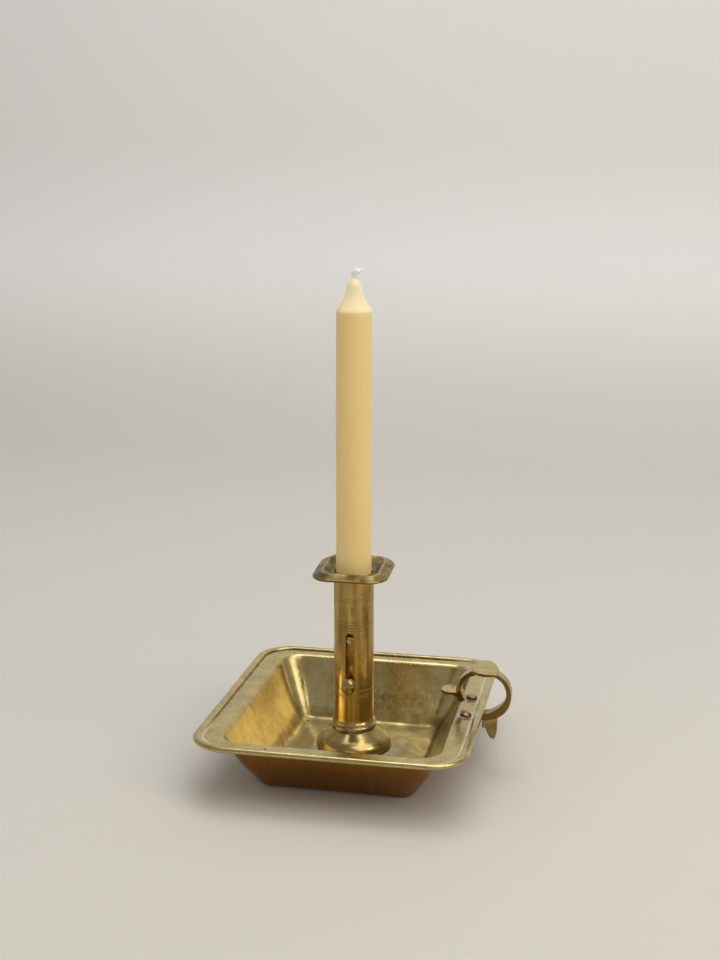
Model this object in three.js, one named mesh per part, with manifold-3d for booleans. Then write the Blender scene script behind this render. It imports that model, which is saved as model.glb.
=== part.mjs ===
// Brass chamber candlestick: a rectangular tray with a wired edge, a ring handle riveted to its rim,
// and a slotted column whose sliding ejector pushes the candle up past a small drip pan.
// Millimetres, +Z up. The column stands on the Z axis of the model, the handle points along +X and
// the ejector's slot faces -Y. The finished group is moved so that the middle of its footprint on the
// table is the origin.

import * as THREE from 'three';
import { mergeVertices } from 'three/addons/utils/BufferGeometryUtils.js';
import Module from 'manifold-3d';

// Tray: outer size over the wired edge, and the foot of its sloping walls
const TRAY_X = 164;
const TRAY_Y = 185;
const TRAY_CORNER = 23.5;
const BASE_X = 93;
const BASE_Y = 110;
const BASE_CORNER = 6;
const SHEET = 1.2;
const EDGE_HEIGHT = 37.25;
const FLANGE_WIDTH = 11.6;
const FLANGE_ENDS = 8;
const FLANGE_RISE = 0.45;
const BOWL_CORNER = 15;
const WALL_FOOT_ROUND = 5;
const WALL_TOP_ROUND = 4.5;

// Tray floor: a flat ring to stand on, then a rise to a level seat for the column
const STANDING_RING = 6;
const FLOOR_RISE = 7;
const FLOOR_ROUND = 7;
const SEAT_MARGIN = 0.9;

// Wired edge: the sheet is rolled up and over an iron wire
const WIRE_DIAMETER = 1.6;
const WIRE_CLEARANCE = 0.2;
const LIP_ANGLE = 135;

// Handle: a cast ring that stands across the rim, with a thumb plate, a lug and a spur
const RING_RADIUS = 15.3;
const RING_CENTRE_OUT = 0.6;
const RING_CENTRE_UP = 10.55;
const STRAP_THICK = 3.5;
const STRAP_WIDE = 8;
const STRAP_ROUND = 0.9;
const THUMB_LONG = 25;
const THUMB_WIDE = 17;
const THUMB_END = 9;
const THUMB_THICK = 2.2;
const THUMB_PROUD = 0.4;
const THUMB_TURN = 12;
const LUG_REACH = 11.7;
const LUG_WIDE = 12.5;
const LUG_THICK = 1.8;
const SPUR_DROP = 14.5;
const SPUR_WIDE = 5.7;
const SPUR_THICK = 4;
const SPUR_SLANT = 4.4;
const SPUR_BARB = 2.3;
const SPUR_TIP = 2.2;
const FOOT_PLATE_END = 4.3;
const FOOT_PLATE_THICK = 2;
const FOOT_PLATE_MARGIN = 0.25;
const FREE_END_UP = 5.3;
const HANDLE_ALONG = 3.7;

// Rivets that hold the handle to the flange
const RIVET_SPACING = 29.4;
const RIVET_SHANK = 3.2;
const RIVET_HEAD = 7.2;
const RIVET_HEAD_HIGH = 2;
const RIVET_TAIL = 5.2;
const RIVET_TAIL_HIGH = 0.9;

// Candle and wick
const CANDLE_DIAMETER = 22;
const CANDLE_TOP_DIAMETER = 21.4;
const CANDLE_LENGTH = 218;
const CANDLE_NECK = 18;
const CANDLE_TIP_DIAMETER = 7.6;
const CANDLE_CAP = 2.4;
const CANDLE_LIP = 0.8;
const NECK_POWER = 1.9;
const WICK_DIAMETER = 2;
const WICK_HOLE_CLEARANCE = 0.3;
const WICK_SHOWING = 6.4;
const WICK_LEAN = 3;

// Column: a tube round the candle, on a domed foot that is bolted through the tray
const CANDLE_CLEARANCE = 0.45;
const TUBE_WALL = 0.9;
const TUBE_LENGTH = 96;
const TUBE_FLARE = 1;
const TUBE_FLARE_HIGH = 8;
const FOOT_RADIUS = 23.3;
const FOOT_HEIGHT = 17;
const FOOT_EDGE = 3;
const FOOT_WALL = 2.2;
const FOOT_BOSS = 14;
const DOME_POWER = 1.2;
const BEAD_HIGH = 3.6;
const BEAD_PROUD = 0.8;
const BEAD_NECK = 0.9;
const SPIGOT_HIGH = 8;
const STUD_DIAMETER = 8;
const STUD_CLEARANCE = 0.3;
const STUD_PAST_NUT = 0.8;
const WASHER_DIAMETER = 18;
const WASHER_THICK = 1;
const NUT_SIDE = 13;
const NUT_THICK = 2.6;

// Slot for the ejector's knob, measured up from the tube's lower end
const SLOT_START = 25;
const SLOT_LENGTH = 35;
const SLOT_WIDTH = 5;

// Drip pan: a sheet with a round dished well and a border that falls to its edge, soldered round the
// mouth of the tube
const PAN_X = 45.5;
const PAN_Y = 53;
const PAN_CORNER = 15;
const PAN_THICK = 1.4;
const PAN_FALL = 0.9;
const WELL_DIAMETER = 35;
const WELL_DEPTH = 3.3;

// Ejector: a split sleeve that slides in the tube, closed by a disc that carries the candle
const SLEEVE_CLEARANCE = 0.35;
const SLEEVE_WALL = 0.8;
const SLEEVE_ABOVE_KNOB = 28.6;
const SLEEVE_BELOW_KNOB = 7;
const SLEEVE_SLIT = 2;
const DISC_THICK = 1;
const KNOB_DIAMETER = 7.8;
const KNOB_NECK = 4.4;
const KNOB_STANDOFF = 0.6;
const KNOB_END_PLAY = 0.3;
const KNOB_THREAD = 2.8;
const KNOB_TAPPED = 3;
const KNOB_BOSS_DIAMETER = 7;
const KNOB_BOSS_THICK = 2.4;

// Fits: the gap round soldered or turned joins, and between faces that rest on each other
const JOIN_GAP = 0.3;
const FACE_GAP = 0.05;

// Fineness of curved surfaces
const CORNER_STEPS = 7;
const ROUND_STEPS = 40;
const SMALL_ROUND_STEPS = 20;
const FILLET_STEPS = 4;
const ROLL_STEPS = 12;
const SPAN_TO_CUT_THROUGH = 400;

// Sizes that follow from the ones above
const WIRE_RADIUS = WIRE_DIAMETER / 2;
const ROLL_INNER = WIRE_RADIUS + WIRE_CLEARANCE;
const ROLL_OUTER = ROLL_INNER + SHEET;
const ROLL_WIDE = 2 * ROLL_OUTER;
const RIM_INSET = ROLL_WIDE + FLANGE_WIDTH;
const SEAT_RADIUS = FOOT_RADIUS + SEAT_MARGIN;
const FLANGE_TOP = EDGE_HEIGHT + FLANGE_RISE;
const FLANGE_UNDER = FLANGE_TOP - SHEET;
const FLOOR_TOP = FLOOR_RISE + SHEET;
const WALL_LEAN = Math.atan2(FLANGE_UNDER, (TRAY_X - BASE_X + SHEET) / 2 - RIM_INSET);
const FLANGE_START = TRAY_X / 2 - RIM_INSET + WALL_TOP_ROUND * Math.tan(WALL_LEAN / 2);

const BORE_RADIUS = CANDLE_DIAMETER / 2 + CANDLE_CLEARANCE;
const TUBE_RADIUS = BORE_RADIUS + TUBE_WALL;
const TUBE_FOOT = FLOOR_TOP + FOOT_HEIGHT;
const TUBE_TOP = TUBE_FOOT + TUBE_LENGTH;
const STUD_HOLE = STUD_DIAMETER / 2 + STUD_CLEARANCE;

const SLEEVE_RADIUS = BORE_RADIUS - SLEEVE_CLEARANCE;
const KNOB_HEIGHT = TUBE_FOOT + SLOT_START + KNOB_END_PLAY + KNOB_NECK / 2;
const DISC_TOP = SLEEVE_ABOVE_KNOB + FACE_GAP + DISC_THICK;

const RING_X = TRAY_X / 2 - RING_CENTRE_OUT;
const RING_Z = EDGE_HEIGHT + RING_CENTRE_UP;
const RING_OUTER = RING_RADIUS + STRAP_THICK / 2;
const RIVET_X = TRAY_X / 2 - ROLL_WIDE - FLANGE_WIDTH / 2;
const HANDLE_OVERHANG = RING_X + RING_OUTER - TRAY_X / 2;
const FOOT_PLATE_LONG = RIVET_SPACING + 2 * FOOT_PLATE_END;

const wasm = await Module();
wasm.setup();

// Helpers

// One closed skin: coincident points become one and collapsed triangles go.
function weld(geometry) {
  const bare = geometry.clone();
  bare.deleteAttribute('normal');
  bare.deleteAttribute('uv');
  const merged = mergeVertices(bare, 1e-4);
  const index = merged.getIndex().array;
  const kept = [];
  for (let i = 0; i < index.length; i += 3) {
    const [a, b, c] = [index[i], index[i + 1], index[i + 2]];
    if (a !== b && b !== c && c !== a) kept.push(a, b, c);
  }
  merged.setIndex(kept);
  return merged;
}

function toSolid(geometry) {
  const skin = weld(geometry);
  return new wasm.Manifold(new wasm.Mesh({
    numProp: 3,
    vertProperties: new Float32Array(skin.getAttribute('position').array),
    triVerts: new Uint32Array(skin.getIndex().array),
  }));
}

function toGeometry(solid) {
  const mesh = solid.getMesh();
  const geometry = new THREE.BufferGeometry();
  geometry.setAttribute('position', new THREE.BufferAttribute(mesh.vertProperties, 3));
  geometry.setIndex(new THREE.BufferAttribute(mesh.triVerts, 1));
  geometry.computeVertexNormals();
  return geometry;
}

function cut(geometry, ...tools) {
  return toGeometry(tools.reduce((solid, tool) => solid.subtract(toSolid(tool)), toSolid(geometry)));
}

function join(...geometries) {
  return toGeometry(geometries.map(toSolid).reduce((solid, next) => solid.add(next)));
}

// A round piece about Z: the profile is a list of [radius, height] pairs, anticlockwise.
function turned(profile, steps = ROUND_STEPS) {
  const points = profile.map(([radius, height]) => new THREE.Vector2(radius, height));
  return weld(new THREE.LatheGeometry(points, steps).rotateX(Math.PI / 2));
}

function ringProfile(inner, outer, low, high) {
  return [[inner, low], [outer, low], [outer, high], [inner, high], [inner, low]];
}

function rod(radius, low, high, steps = SMALL_ROUND_STEPS) {
  return turned([[0, low], [radius, low], [radius, high], [0, high]], steps);
}

function box(low, high) {
  const size = high.map((value, axis) => value - low[axis]);
  const middle = high.map((value, axis) => (value + low[axis]) / 2);
  return new THREE.BoxGeometry(...size).translate(...middle);
}

function plate(shape, low, thick) {
  return new THREE.ExtrudeGeometry(shape, { depth: thick, bevelEnabled: false, curveSegments: 8 })
    .translate(0, 0, low);
}

// Points on a circle in a profile, from one angle to another, in degrees.
function arc(centre, radius, from, to, steps) {
  return Array.from({ length: steps + 1 }, (_, i) => {
    const angle = THREE.MathUtils.degToRad(from + (to - from) * i / steps);
    return [centre[0] + radius * Math.cos(angle), centre[1] + radius * Math.sin(angle)];
  });
}

// A rectangle with rounded corners, as a ring of points at one height.
function roundedRing(halfX, halfY, corner, z) {
  const quarters = [[1, 1], [-1, 1], [-1, -1], [1, -1]];
  return quarters.flatMap(([sideX, sideY], quarter) => (
    Array.from({ length: CORNER_STEPS + 1 }, (_, i) => {
      const angle = (quarter + i / CORNER_STEPS) * Math.PI / 2;
      const x = sideX * (halfX - corner) + corner * Math.cos(angle);
      const y = sideY * (halfY - corner) + corner * Math.sin(angle);
      return new THREE.Vector3(x, y, z);
    })
  ));
}

// A skin over a list of rings, anticlockwise in section. It closes on itself like a tyre,
// or each end is filled by a fan round the ring's middle.
function loft(rings, closesOnItself) {
  const count = rings[0].length;
  const points = rings.flat();
  const index = [];
  const bands = closesOnItself ? rings.length : rings.length - 1;
  for (let band = 0; band < bands; band += 1) {
    const near = band * count;
    const far = ((band + 1) % rings.length) * count;
    for (let i = 0; i < count; i += 1) {
      const next = (i + 1) % count;
      index.push(near + i, near + next, far + next, near + i, far + next, far + i);
    }
  }
  if (!closesOnItself) {
    const lastRing = (rings.length - 1) * count;
    const middles = [rings[0], rings.at(-1)].map((ring) => (
      ring.reduce((sum, point) => sum.add(point), new THREE.Vector3()).divideScalar(count)
    ));
    points.push(...middles);
    for (let i = 0; i < count; i += 1) {
      const next = (i + 1) % count;
      index.push(points.length - 2, next, i, points.length - 1, lastRing + i, lastRing + next);
    }
  }
  const geometry = new THREE.BufferGeometry().setFromPoints(points);
  geometry.setIndex(index);
  return weld(geometry);
}

// A bent strip in section. Each point of its middle line is [out, height, bend radius], and side says
// which face to draw: +1 is the face on the right of the line's direction, -1 the one on its left.
function stripFace(middleLine, thick, side) {
  const offset = side * thick / 2;
  const ends = middleLine.map(([out, height]) => new THREE.Vector2(out, height));
  const directions = ends.slice(1).map((end, i) => end.clone().sub(ends[i]).normalize());
  const face = [];
  ends.forEach((end, i) => {
    const before = directions[Math.max(i - 1, 0)];
    const after = directions[Math.min(i, directions.length - 1)];
    const normal = (line) => new THREE.Vector2(line.y, -line.x);
    const miter = normal(before).add(normal(after));
    const corner = end.clone().add(miter.multiplyScalar(2 * offset / miter.lengthSq()));
    const turn = before.cross(after);
    if (Math.abs(turn) < 1e-6) {
      face.push([corner.x, corner.y]);
      return;
    }
    const radius = Math.max(middleLine[i][2] + Math.sign(turn) * offset, thick / 10);
    const halfTurn = Math.asin(Math.min(1, Math.abs(turn))) / 2;
    const reach = radius * Math.tan(halfTurn);
    const bend = new THREE.QuadraticBezierCurve(
      corner.clone().addScaledVector(before, -reach),
      corner,
      corner.clone().addScaledVector(after, reach),
    );
    face.push(...bend.getPoints(FILLET_STEPS).map((point) => [point.x, point.y]));
  });
  return face;
}

// Tray

// The tray's outline this far in from its edge: the roll keeps its width, the flange is narrower at the
// front and back than at the sides, the walls run down to the base outline and the floor runs in to the
// round seat.
function trayRing(inset, z) {
  const { lerp } = THREE.MathUtils;
  const halfX = TRAY_X / 2 - inset;
  const flangeY = TRAY_Y / 2 - ROLL_WIDE;
  const bowlX = TRAY_X / 2 - RIM_INSET;
  const bowlY = flangeY - FLANGE_ENDS;
  if (inset <= ROLL_WIDE) return roundedRing(halfX, TRAY_Y / 2 - inset, TRAY_CORNER - inset, z);
  if (inset <= RIM_INSET) {
    const across = (inset - ROLL_WIDE) / FLANGE_WIDTH;
    const corner = lerp(TRAY_CORNER - ROLL_WIDE, BOWL_CORNER, across);
    return roundedRing(halfX, lerp(flangeY, bowlY, across), corner, z);
  }
  if (halfX >= BASE_X / 2) {
    const down = (bowlX - halfX) / (bowlX - BASE_X / 2);
    return roundedRing(halfX, lerp(bowlY, BASE_Y / 2, down), lerp(BOWL_CORNER, BASE_CORNER, down), z);
  }
  const inwards = Math.min(1, (BASE_X / 2 - halfX) / (BASE_X / 2 - SEAT_RADIUS));
  const halfY = lerp(BASE_Y / 2, SEAT_RADIUS, inwards);
  return roundedRing(halfX, halfY, lerp(BASE_CORNER, SEAT_RADIUS, inwards), z);
}

// Section of the tray from the middle of the floor outwards, as [distance out from the axis, height].
function traySection() {
  const half = SHEET / 2;
  const flangeEnd = TRAY_X / 2 - ROLL_WIDE;
  const middleLine = [
    [SEAT_RADIUS - FLOOR_ROUND, FLOOR_RISE + half, 0],
    [SEAT_RADIUS, FLOOR_RISE + half, FLOOR_ROUND],
    [BASE_X / 2 - STANDING_RING, half, FLOOR_ROUND],
    [BASE_X / 2 - half, half, WALL_FOOT_ROUND],
    [TRAY_X / 2 - RIM_INSET, FLANGE_TOP - half, WALL_TOP_ROUND],
    [flangeEnd, FLANGE_TOP - half, 0],
  ];
  const underside = stripFace(middleLine, SHEET, 1).slice(0, -1);
  const upperside = stripFace(middleLine, SHEET, -1).slice(0, -1).reverse();
  const rollCentre = [TRAY_X / 2 - ROLL_OUTER, EDGE_HEIGHT];
  const angleOnRoll = (height, radius) => (
    180 - THREE.MathUtils.radToDeg(Math.asin((height - EDGE_HEIGHT) / radius))
  );
  const lip = LIP_ANGLE + 360;
  const rollOutside = arc(rollCentre, ROLL_OUTER, angleOnRoll(FLANGE_UNDER, ROLL_OUTER), lip, ROLL_STEPS);
  const rollInside = arc(rollCentre, ROLL_INNER, lip, angleOnRoll(FLANGE_TOP, ROLL_INNER), ROLL_STEPS);
  return [...underside, ...rollOutside, ...rollInside, ...upperside];
}

function trayGeometry() {
  const rings = traySection().map(([out, height]) => trayRing(TRAY_X / 2 - out, height));
  const studHole = rod(STUD_HOLE, 0, FLOOR_TOP + SHEET);
  const rivetHoles = [-1, 1].map((side) => (
    rod(RIVET_SHANK / 2 + JOIN_GAP, FLANGE_UNDER - SHEET, FLANGE_TOP + SHEET)
      .translate(RIVET_X, HANDLE_ALONG + side * RIVET_SPACING / 2, 0)
  ));
  return cut(loft(rings, false), studHole, ...rivetHoles);
}

function rimWireGeometry() {
  const section = arc([TRAY_X / 2 - ROLL_OUTER, EDGE_HEIGHT], WIRE_RADIUS, 0, 360, 8).slice(0, -1);
  return loft(section.map(([out, height]) => trayRing(TRAY_X / 2 - out, height)), true);
}

// Handle

// The ring's strap: a rounded bar bent round an axis along Y.
function strapGeometry() {
  const half = [STRAP_THICK / 2 - STRAP_ROUND, STRAP_WIDE / 2 - STRAP_ROUND];
  const corners = [[1, -1, -90], [1, 1, 0], [-1, 1, 90], [-1, -1, 180]];
  const section = corners.flatMap(([sideX, sideY, start]) => {
    const centre = [RING_RADIUS + sideX * half[0], sideY * half[1]];
    return arc(centre, STRAP_ROUND, start, start + 90, 2);
  });
  section.push(section[0]);
  const points = section.map(([radius, along]) => new THREE.Vector2(radius, along));
  return weld(new THREE.LatheGeometry(points, ROUND_STEPS)).translate(RING_X, 0, RING_Z);
}

// A long hexagon across the top of the ring, set a little askew.
function thumbPlateGeometry() {
  const outline = [
    [THUMB_WIDE / 2, 0], [THUMB_END / 2, THUMB_LONG / 2], [-THUMB_END / 2, THUMB_LONG / 2],
    [-THUMB_WIDE / 2, 0], [-THUMB_END / 2, -THUMB_LONG / 2], [THUMB_END / 2, -THUMB_LONG / 2],
  ];
  const shape = new THREE.Shape(outline.map(([x, y]) => new THREE.Vector2(x, y)));
  return plate(shape, RING_Z + RING_OUTER + THUMB_PROUD - THUMB_THICK, THUMB_THICK)
    .rotateZ(THREE.MathUtils.degToRad(THUMB_TURN))
    .translate(RING_X, 0, 0);
}

// A flat tongue with a round end, pointing in over the tray from the ring's free end.
function lugGeometry() {
  const root = RING_X - RING_RADIUS;
  const roundCentre = root - LUG_REACH + LUG_WIDE / 2;
  const shape = new THREE.Shape();
  shape.moveTo(root, -LUG_WIDE / 2);
  shape.lineTo(root, LUG_WIDE / 2);
  shape.lineTo(roundCentre, LUG_WIDE / 2);
  shape.absarc(roundCentre, 0, LUG_WIDE / 2, Math.PI / 2, 1.5 * Math.PI, false);
  return plate(shape, RING_Z - LUG_THICK / 2, LUG_THICK);
}

// A tapering spur with one barb that hangs from the bottom of the ring, outside the rim.
function spurGeometry() {
  const top = RING_Z - RING_RADIUS;
  const barb = top - SPUR_DROP / 2;
  const tip = top - SPUR_DROP;
  const shape = new THREE.Shape();
  shape.moveTo(RING_X - SPUR_WIDE / 9, top);
  shape.lineTo(RING_X - SPUR_BARB * 0.65, barb);
  shape.lineTo(RING_X + SPUR_BARB * 0.35, barb);
  shape.quadraticCurveTo(RING_X + SPUR_SLANT / 4, (barb + tip) / 2, RING_X + SPUR_SLANT, tip);
  shape.lineTo(RING_X + SPUR_SLANT + SPUR_TIP, tip);
  shape.quadraticCurveTo(RING_X + SPUR_WIDE * 0.85, barb, RING_X + SPUR_WIDE * 0.9, top);
  return new THREE.ExtrudeGeometry(shape, { depth: SPUR_THICK, bevelEnabled: false, curveSegments: 6 })
    .rotateX(Math.PI / 2)
    .translate(0, SPUR_THICK / 2, 0);
}

// The plate under the flange that the rivets go through.
function footPlateGeometry() {
  const low = FLANGE_START + FOOT_PLATE_MARGIN;
  const high = TRAY_X / 2 - ROLL_WIDE - FOOT_PLATE_MARGIN;
  const round = (high - low) / 2 - FACE_GAP;
  const ring = roundedRing((high - low) / 2, FOOT_PLATE_LONG / 2, round, 0);
  const shape = new THREE.Shape(ring.map((point) => new THREE.Vector2(point.x, point.y)));
  return plate(shape, FLANGE_UNDER - FACE_GAP - FOOT_PLATE_THICK, FOOT_PLATE_THICK)
    .translate((low + high) / 2, 0, 0);
}

function handleGeometry() {
  // The ring stops short of the flange inside the rim and passes under the roll outside it.
  const rimGap = box(
    [RING_X - RING_OUTER - STRAP_THICK, -STRAP_WIDE, FLANGE_UNDER - FACE_GAP],
    [TRAY_X / 2 - ROLL_WIDE + FACE_GAP, STRAP_WIDE, FLANGE_TOP + FREE_END_UP],
  );
  const wallGap = box(
    [RING_X - RING_OUTER - STRAP_THICK, -STRAP_WIDE, RING_Z - 2 * RING_OUTER],
    [FLANGE_START + FOOT_PLATE_MARGIN, STRAP_WIDE, FLANGE_UNDER],
  );
  const openRing = cut(strapGeometry(), rimGap, wallGap);
  const rivetHoles = [-1, 1].map((side) => (
    rod(RIVET_SHANK / 2 + JOIN_GAP, FLANGE_UNDER - 2 * FOOT_PLATE_THICK, FLANGE_TOP)
      .translate(RIVET_X, side * RIVET_SPACING / 2, 0)
  ));
  const footPlate = cut(footPlateGeometry(), ...rivetHoles);
  return join(openRing, footPlate, thumbPlateGeometry(), lugGeometry(), spurGeometry());
}

// A rivet with a domed head on the flange and a small burr under the handle's foot plate.
function rivetGeometry() {
  const seat = FLANGE_TOP + FACE_GAP;
  const underPlate = FLANGE_UNDER - 2 * FACE_GAP - FOOT_PLATE_THICK;
  const dome = (radius, high, base) => Array.from({ length: 5 }, (_, i) => {
    const angle = i / 4 * Math.PI / 2;
    return [radius * Math.cos(angle), base + high * Math.sin(angle)];
  });
  const tail = dome(RIVET_TAIL / 2, -RIVET_TAIL_HIGH, underPlate).reverse();
  const shank = [[RIVET_SHANK / 2, underPlate], [RIVET_SHANK / 2, seat]];
  return turned([...tail, ...shank, ...dome(RIVET_HEAD / 2, RIVET_HEAD_HIGH, seat)], SMALL_ROUND_STEPS);
}

// Column

// The tube: a straight bore, a flared foot outside, and a slot with round ends on the -Y side.
function tubeGeometry() {
  const flare = Array.from({ length: 5 }, (_, i) => {
    const up = i / 4;
    return [TUBE_RADIUS + TUBE_FLARE * (1 - up) ** 2, TUBE_FLARE_HIGH * up];
  });
  const profile = [
    [BORE_RADIUS, 0], ...flare, [TUBE_RADIUS, TUBE_LENGTH], [BORE_RADIUS, TUBE_LENGTH], [BORE_RADIUS, 0],
  ];
  const low = SLOT_START + SLOT_WIDTH / 2;
  const high = SLOT_START + SLOT_LENGTH - SLOT_WIDTH / 2;
  const shape = new THREE.Shape();
  shape.absarc(0, high, SLOT_WIDTH / 2, 0, Math.PI, false);
  shape.absarc(0, low, SLOT_WIDTH / 2, Math.PI, 2 * Math.PI, false);
  const slot = plate(shape, 0, 2 * TUBE_RADIUS).rotateX(Math.PI / 2);
  return cut(turned(profile), slot);
}

// The foot: a spigot inside the tube, a bead, a hollow dome with a thin edge, and a threaded stud.
function footGeometry() {
  const neck = TUBE_RADIUS + BEAD_NECK;
  const beadLow = FOOT_HEIGHT - BEAD_NECK - BEAD_HIGH;
  const bead = arc([0, 0], 1, -90, 90, 6).map(([out, up]) => (
    [neck + out * BEAD_PROUD, beadLow + (1 + up) * BEAD_HIGH / 2]
  ));
  const dome = (edge, low, inner, high) => Array.from({ length: 8 }, (_, i) => {
    const out = 1 - i / 7;
    return [inner + (edge - inner) * out, high - (high - low) * out ** DOME_POWER];
  });
  const outside = dome(FOOT_RADIUS, FOOT_EDGE, neck, beadLow);
  const inside = dome(FOOT_RADIUS - FOOT_WALL, 0, FOOT_BOSS / 2, beadLow - FOOT_WALL).reverse();
  const studEnd = -SHEET - 3 * FACE_GAP - WASHER_THICK - NUT_THICK - STUD_PAST_NUT;
  const spigot = BORE_RADIUS - JOIN_GAP;
  return turned([
    [0, studEnd], [STUD_DIAMETER / 2, studEnd], [STUD_DIAMETER / 2, FACE_GAP], [FOOT_BOSS / 2, FACE_GAP],
    ...inside.map(([out, up]) => [out, Math.max(up, FACE_GAP)]),
    [FOOT_RADIUS - FOOT_EDGE / 4, FACE_GAP], ...outside, ...bead,
    [neck, FOOT_HEIGHT - FACE_GAP], [spigot, FOOT_HEIGHT - FACE_GAP],
    [spigot, FOOT_HEIGHT + SPIGOT_HIGH], [0, FOOT_HEIGHT + SPIGOT_HIGH],
  ]);
}

function washerGeometry() {
  return turned(ringProfile(STUD_HOLE, WASHER_DIAMETER / 2, -WASHER_THICK, 0), SMALL_ROUND_STEPS);
}

function nutGeometry() {
  const half = NUT_SIDE / 2;
  const shape = new THREE.Shape(roundedRing(half, half, NUT_SIDE / 10, 0));
  const hole = new THREE.Path();
  hole.absarc(0, 0, STUD_HOLE, 0, 2 * Math.PI, true);
  shape.holes.push(hole);
  return weld(plate(shape, -NUT_THICK, NUT_THICK));
}

// The drip pan: round at the tube and in the well, easing out to a rectangle with rounded corners.
function dripPanGeometry() {
  const hole = TUBE_RADIUS + JOIN_GAP / 2;
  const well = WELL_DIAMETER / 2;
  const edgeX = PAN_X / 2;
  const round = PAN_THICK / 2;
  const ringAt = (out, z) => {
    const spread = Math.max(0, (out - well) / (edgeX - well));
    const halfY = out + spread * (PAN_Y - PAN_X) / 2;
    return roundedRing(out, halfY, THREE.MathUtils.lerp(out, PAN_CORNER, spread), z);
  };
  const dish = [0, 0.25, 0.5, 0.75, 1].map((part) => (
    [THREE.MathUtils.lerp(hole, well, part), WELL_DEPTH * (3 - 2 * part) * part ** 2]
  ));
  const edge = arc([edgeX - round, WELL_DEPTH - PAN_FALL - round], round, -90, 90, 4);
  const underside = dish.map(([out, up]) => [out, up - PAN_THICK]);
  const section = [...underside, ...edge, ...dish.reverse()];
  return loft(section.map(([out, up]) => ringAt(out, up)), true);
}

// Ejector, measured from the height of its knob

function sleeveGeometry() {
  const inner = SLEEVE_RADIUS - SLEEVE_WALL;
  const profile = ringProfile(inner, SLEEVE_RADIUS, -SLEEVE_BELOW_KNOB, SLEEVE_ABOVE_KNOB);
  const slit = box(
    [-SLEEVE_SLIT / 2, 0, -SPAN_TO_CUT_THROUGH],
    [SLEEVE_SLIT / 2, 2 * SLEEVE_RADIUS, SPAN_TO_CUT_THROUGH],
  );
  const knobHole = rod(KNOB_THREAD / 2 + JOIN_GAP, 0, 2 * SLEEVE_RADIUS).rotateX(Math.PI / 2);
  return cut(turned(profile), slit, knobHole);
}

function discGeometry() {
  return rod(SLEEVE_RADIUS, DISC_TOP - DISC_THICK, DISC_TOP, ROUND_STEPS);
}

// A ball with a neck through the slot and a threaded end through the sleeve, turned about -Y.
function knobGeometry() {
  const seat = SLEEVE_RADIUS + JOIN_GAP;
  const ball = KNOB_DIAMETER / 2;
  const centre = TUBE_RADIUS + KNOB_STANDOFF + ball;
  const neckAngle = THREE.MathUtils.radToDeg(Math.asin(KNOB_NECK / 2 / ball));
  const thread = KNOB_THREAD / 2;
  const threadEnd = SLEEVE_RADIUS - SLEEVE_WALL - KNOB_TAPPED;
  return turned([
    [0, threadEnd], [thread, threadEnd], [thread, seat], [KNOB_NECK / 2, seat],
    ...arc([0, centre], ball, neckAngle - 90, 90, 9),
  ], SMALL_ROUND_STEPS).rotateX(Math.PI / 2);
}

// The tapped boss soldered inside the sleeve behind the knob.
function knobBossGeometry() {
  const half = KNOB_BOSS_DIAMETER / 2;
  const face = Math.sqrt((SLEEVE_RADIUS - SLEEVE_WALL) ** 2 - half ** 2) - FACE_GAP;
  const profile = ringProfile(KNOB_THREAD / 2 + JOIN_GAP, half, face - KNOB_BOSS_THICK, face);
  return turned(profile, SMALL_ROUND_STEPS).rotateX(Math.PI / 2);
}

// Candle, measured from its foot

// The candle: slightly tapered, a thin lip at the shoulder, a hollow-curved neck and a small cap,
// with a hole for the wick from end to end.
function candleGeometry() {
  const wickHole = WICK_DIAMETER / 2 + WICK_HOLE_CLEARANCE;
  const top = CANDLE_TOP_DIAMETER / 2;
  const tip = CANDLE_TIP_DIAMETER / 2;
  const shoulder = CANDLE_LENGTH - CANDLE_NECK;
  const capFoot = CANDLE_LENGTH - CANDLE_CAP;
  const neck = Array.from({ length: 8 }, (_, i) => {
    const down = 1 - i / 7;
    return [tip + (top - CANDLE_LIP / 2 - tip) * down ** NECK_POWER, capFoot - (capFoot - shoulder) * down];
  });
  const capRound = THREE.MathUtils.lerp(wickHole, tip, 0.6);
  return turned([
    [wickHole, 0], [CANDLE_DIAMETER / 2, 0], [top, shoulder - CANDLE_LIP], [top, shoulder], ...neck,
    [capRound, CANDLE_LENGTH], [wickHole, CANDLE_LENGTH], [wickHole, 0],
  ]);
}

// The wick: straight up through the candle, then leaning over where it shows.
function wickGeometry() {
  const radius = WICK_DIAMETER / 2;
  const lean = new THREE.QuadraticBezierCurve3(
    new THREE.Vector3(0, 0, CANDLE_LENGTH),
    new THREE.Vector3(0, 0, CANDLE_LENGTH + WICK_SHOWING * 0.6),
    new THREE.Vector3(WICK_LEAN, 0, CANDLE_LENGTH + WICK_SHOWING),
  );
  const middleLine = [new THREE.Vector3(0, 0, FACE_GAP), ...lean.getPoints(5)];
  return loft(middleLine.map(({ x, z }) => (
    roundedRing(radius, radius, radius, z)
      .filter((_, i) => i % 3 === 0)
      .map((point) => point.setX(point.x + x))
  )), false);
}

// Finishes
const brass = () => new THREE.MeshStandardMaterial({ color: 0xa8893f, roughness: 0.32, metalness: 1 });
const castBrass = () => new THREE.MeshStandardMaterial({ color: 0x97793a, roughness: 0.42, metalness: 1 });
const copper = () => new THREE.MeshStandardMaterial({ color: 0x8a4b36, roughness: 0.35, metalness: 1 });
const iron = () => new THREE.MeshStandardMaterial({ color: 0x4a4743, roughness: 0.6, metalness: 1 });
const wax = () => new THREE.MeshStandardMaterial({ color: 0xe0c078, roughness: 0.45, metalness: 0 });
const cotton = () => new THREE.MeshStandardMaterial({ color: 0xf2efe6, roughness: 0.95, metalness: 0 });

// Assembly

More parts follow.
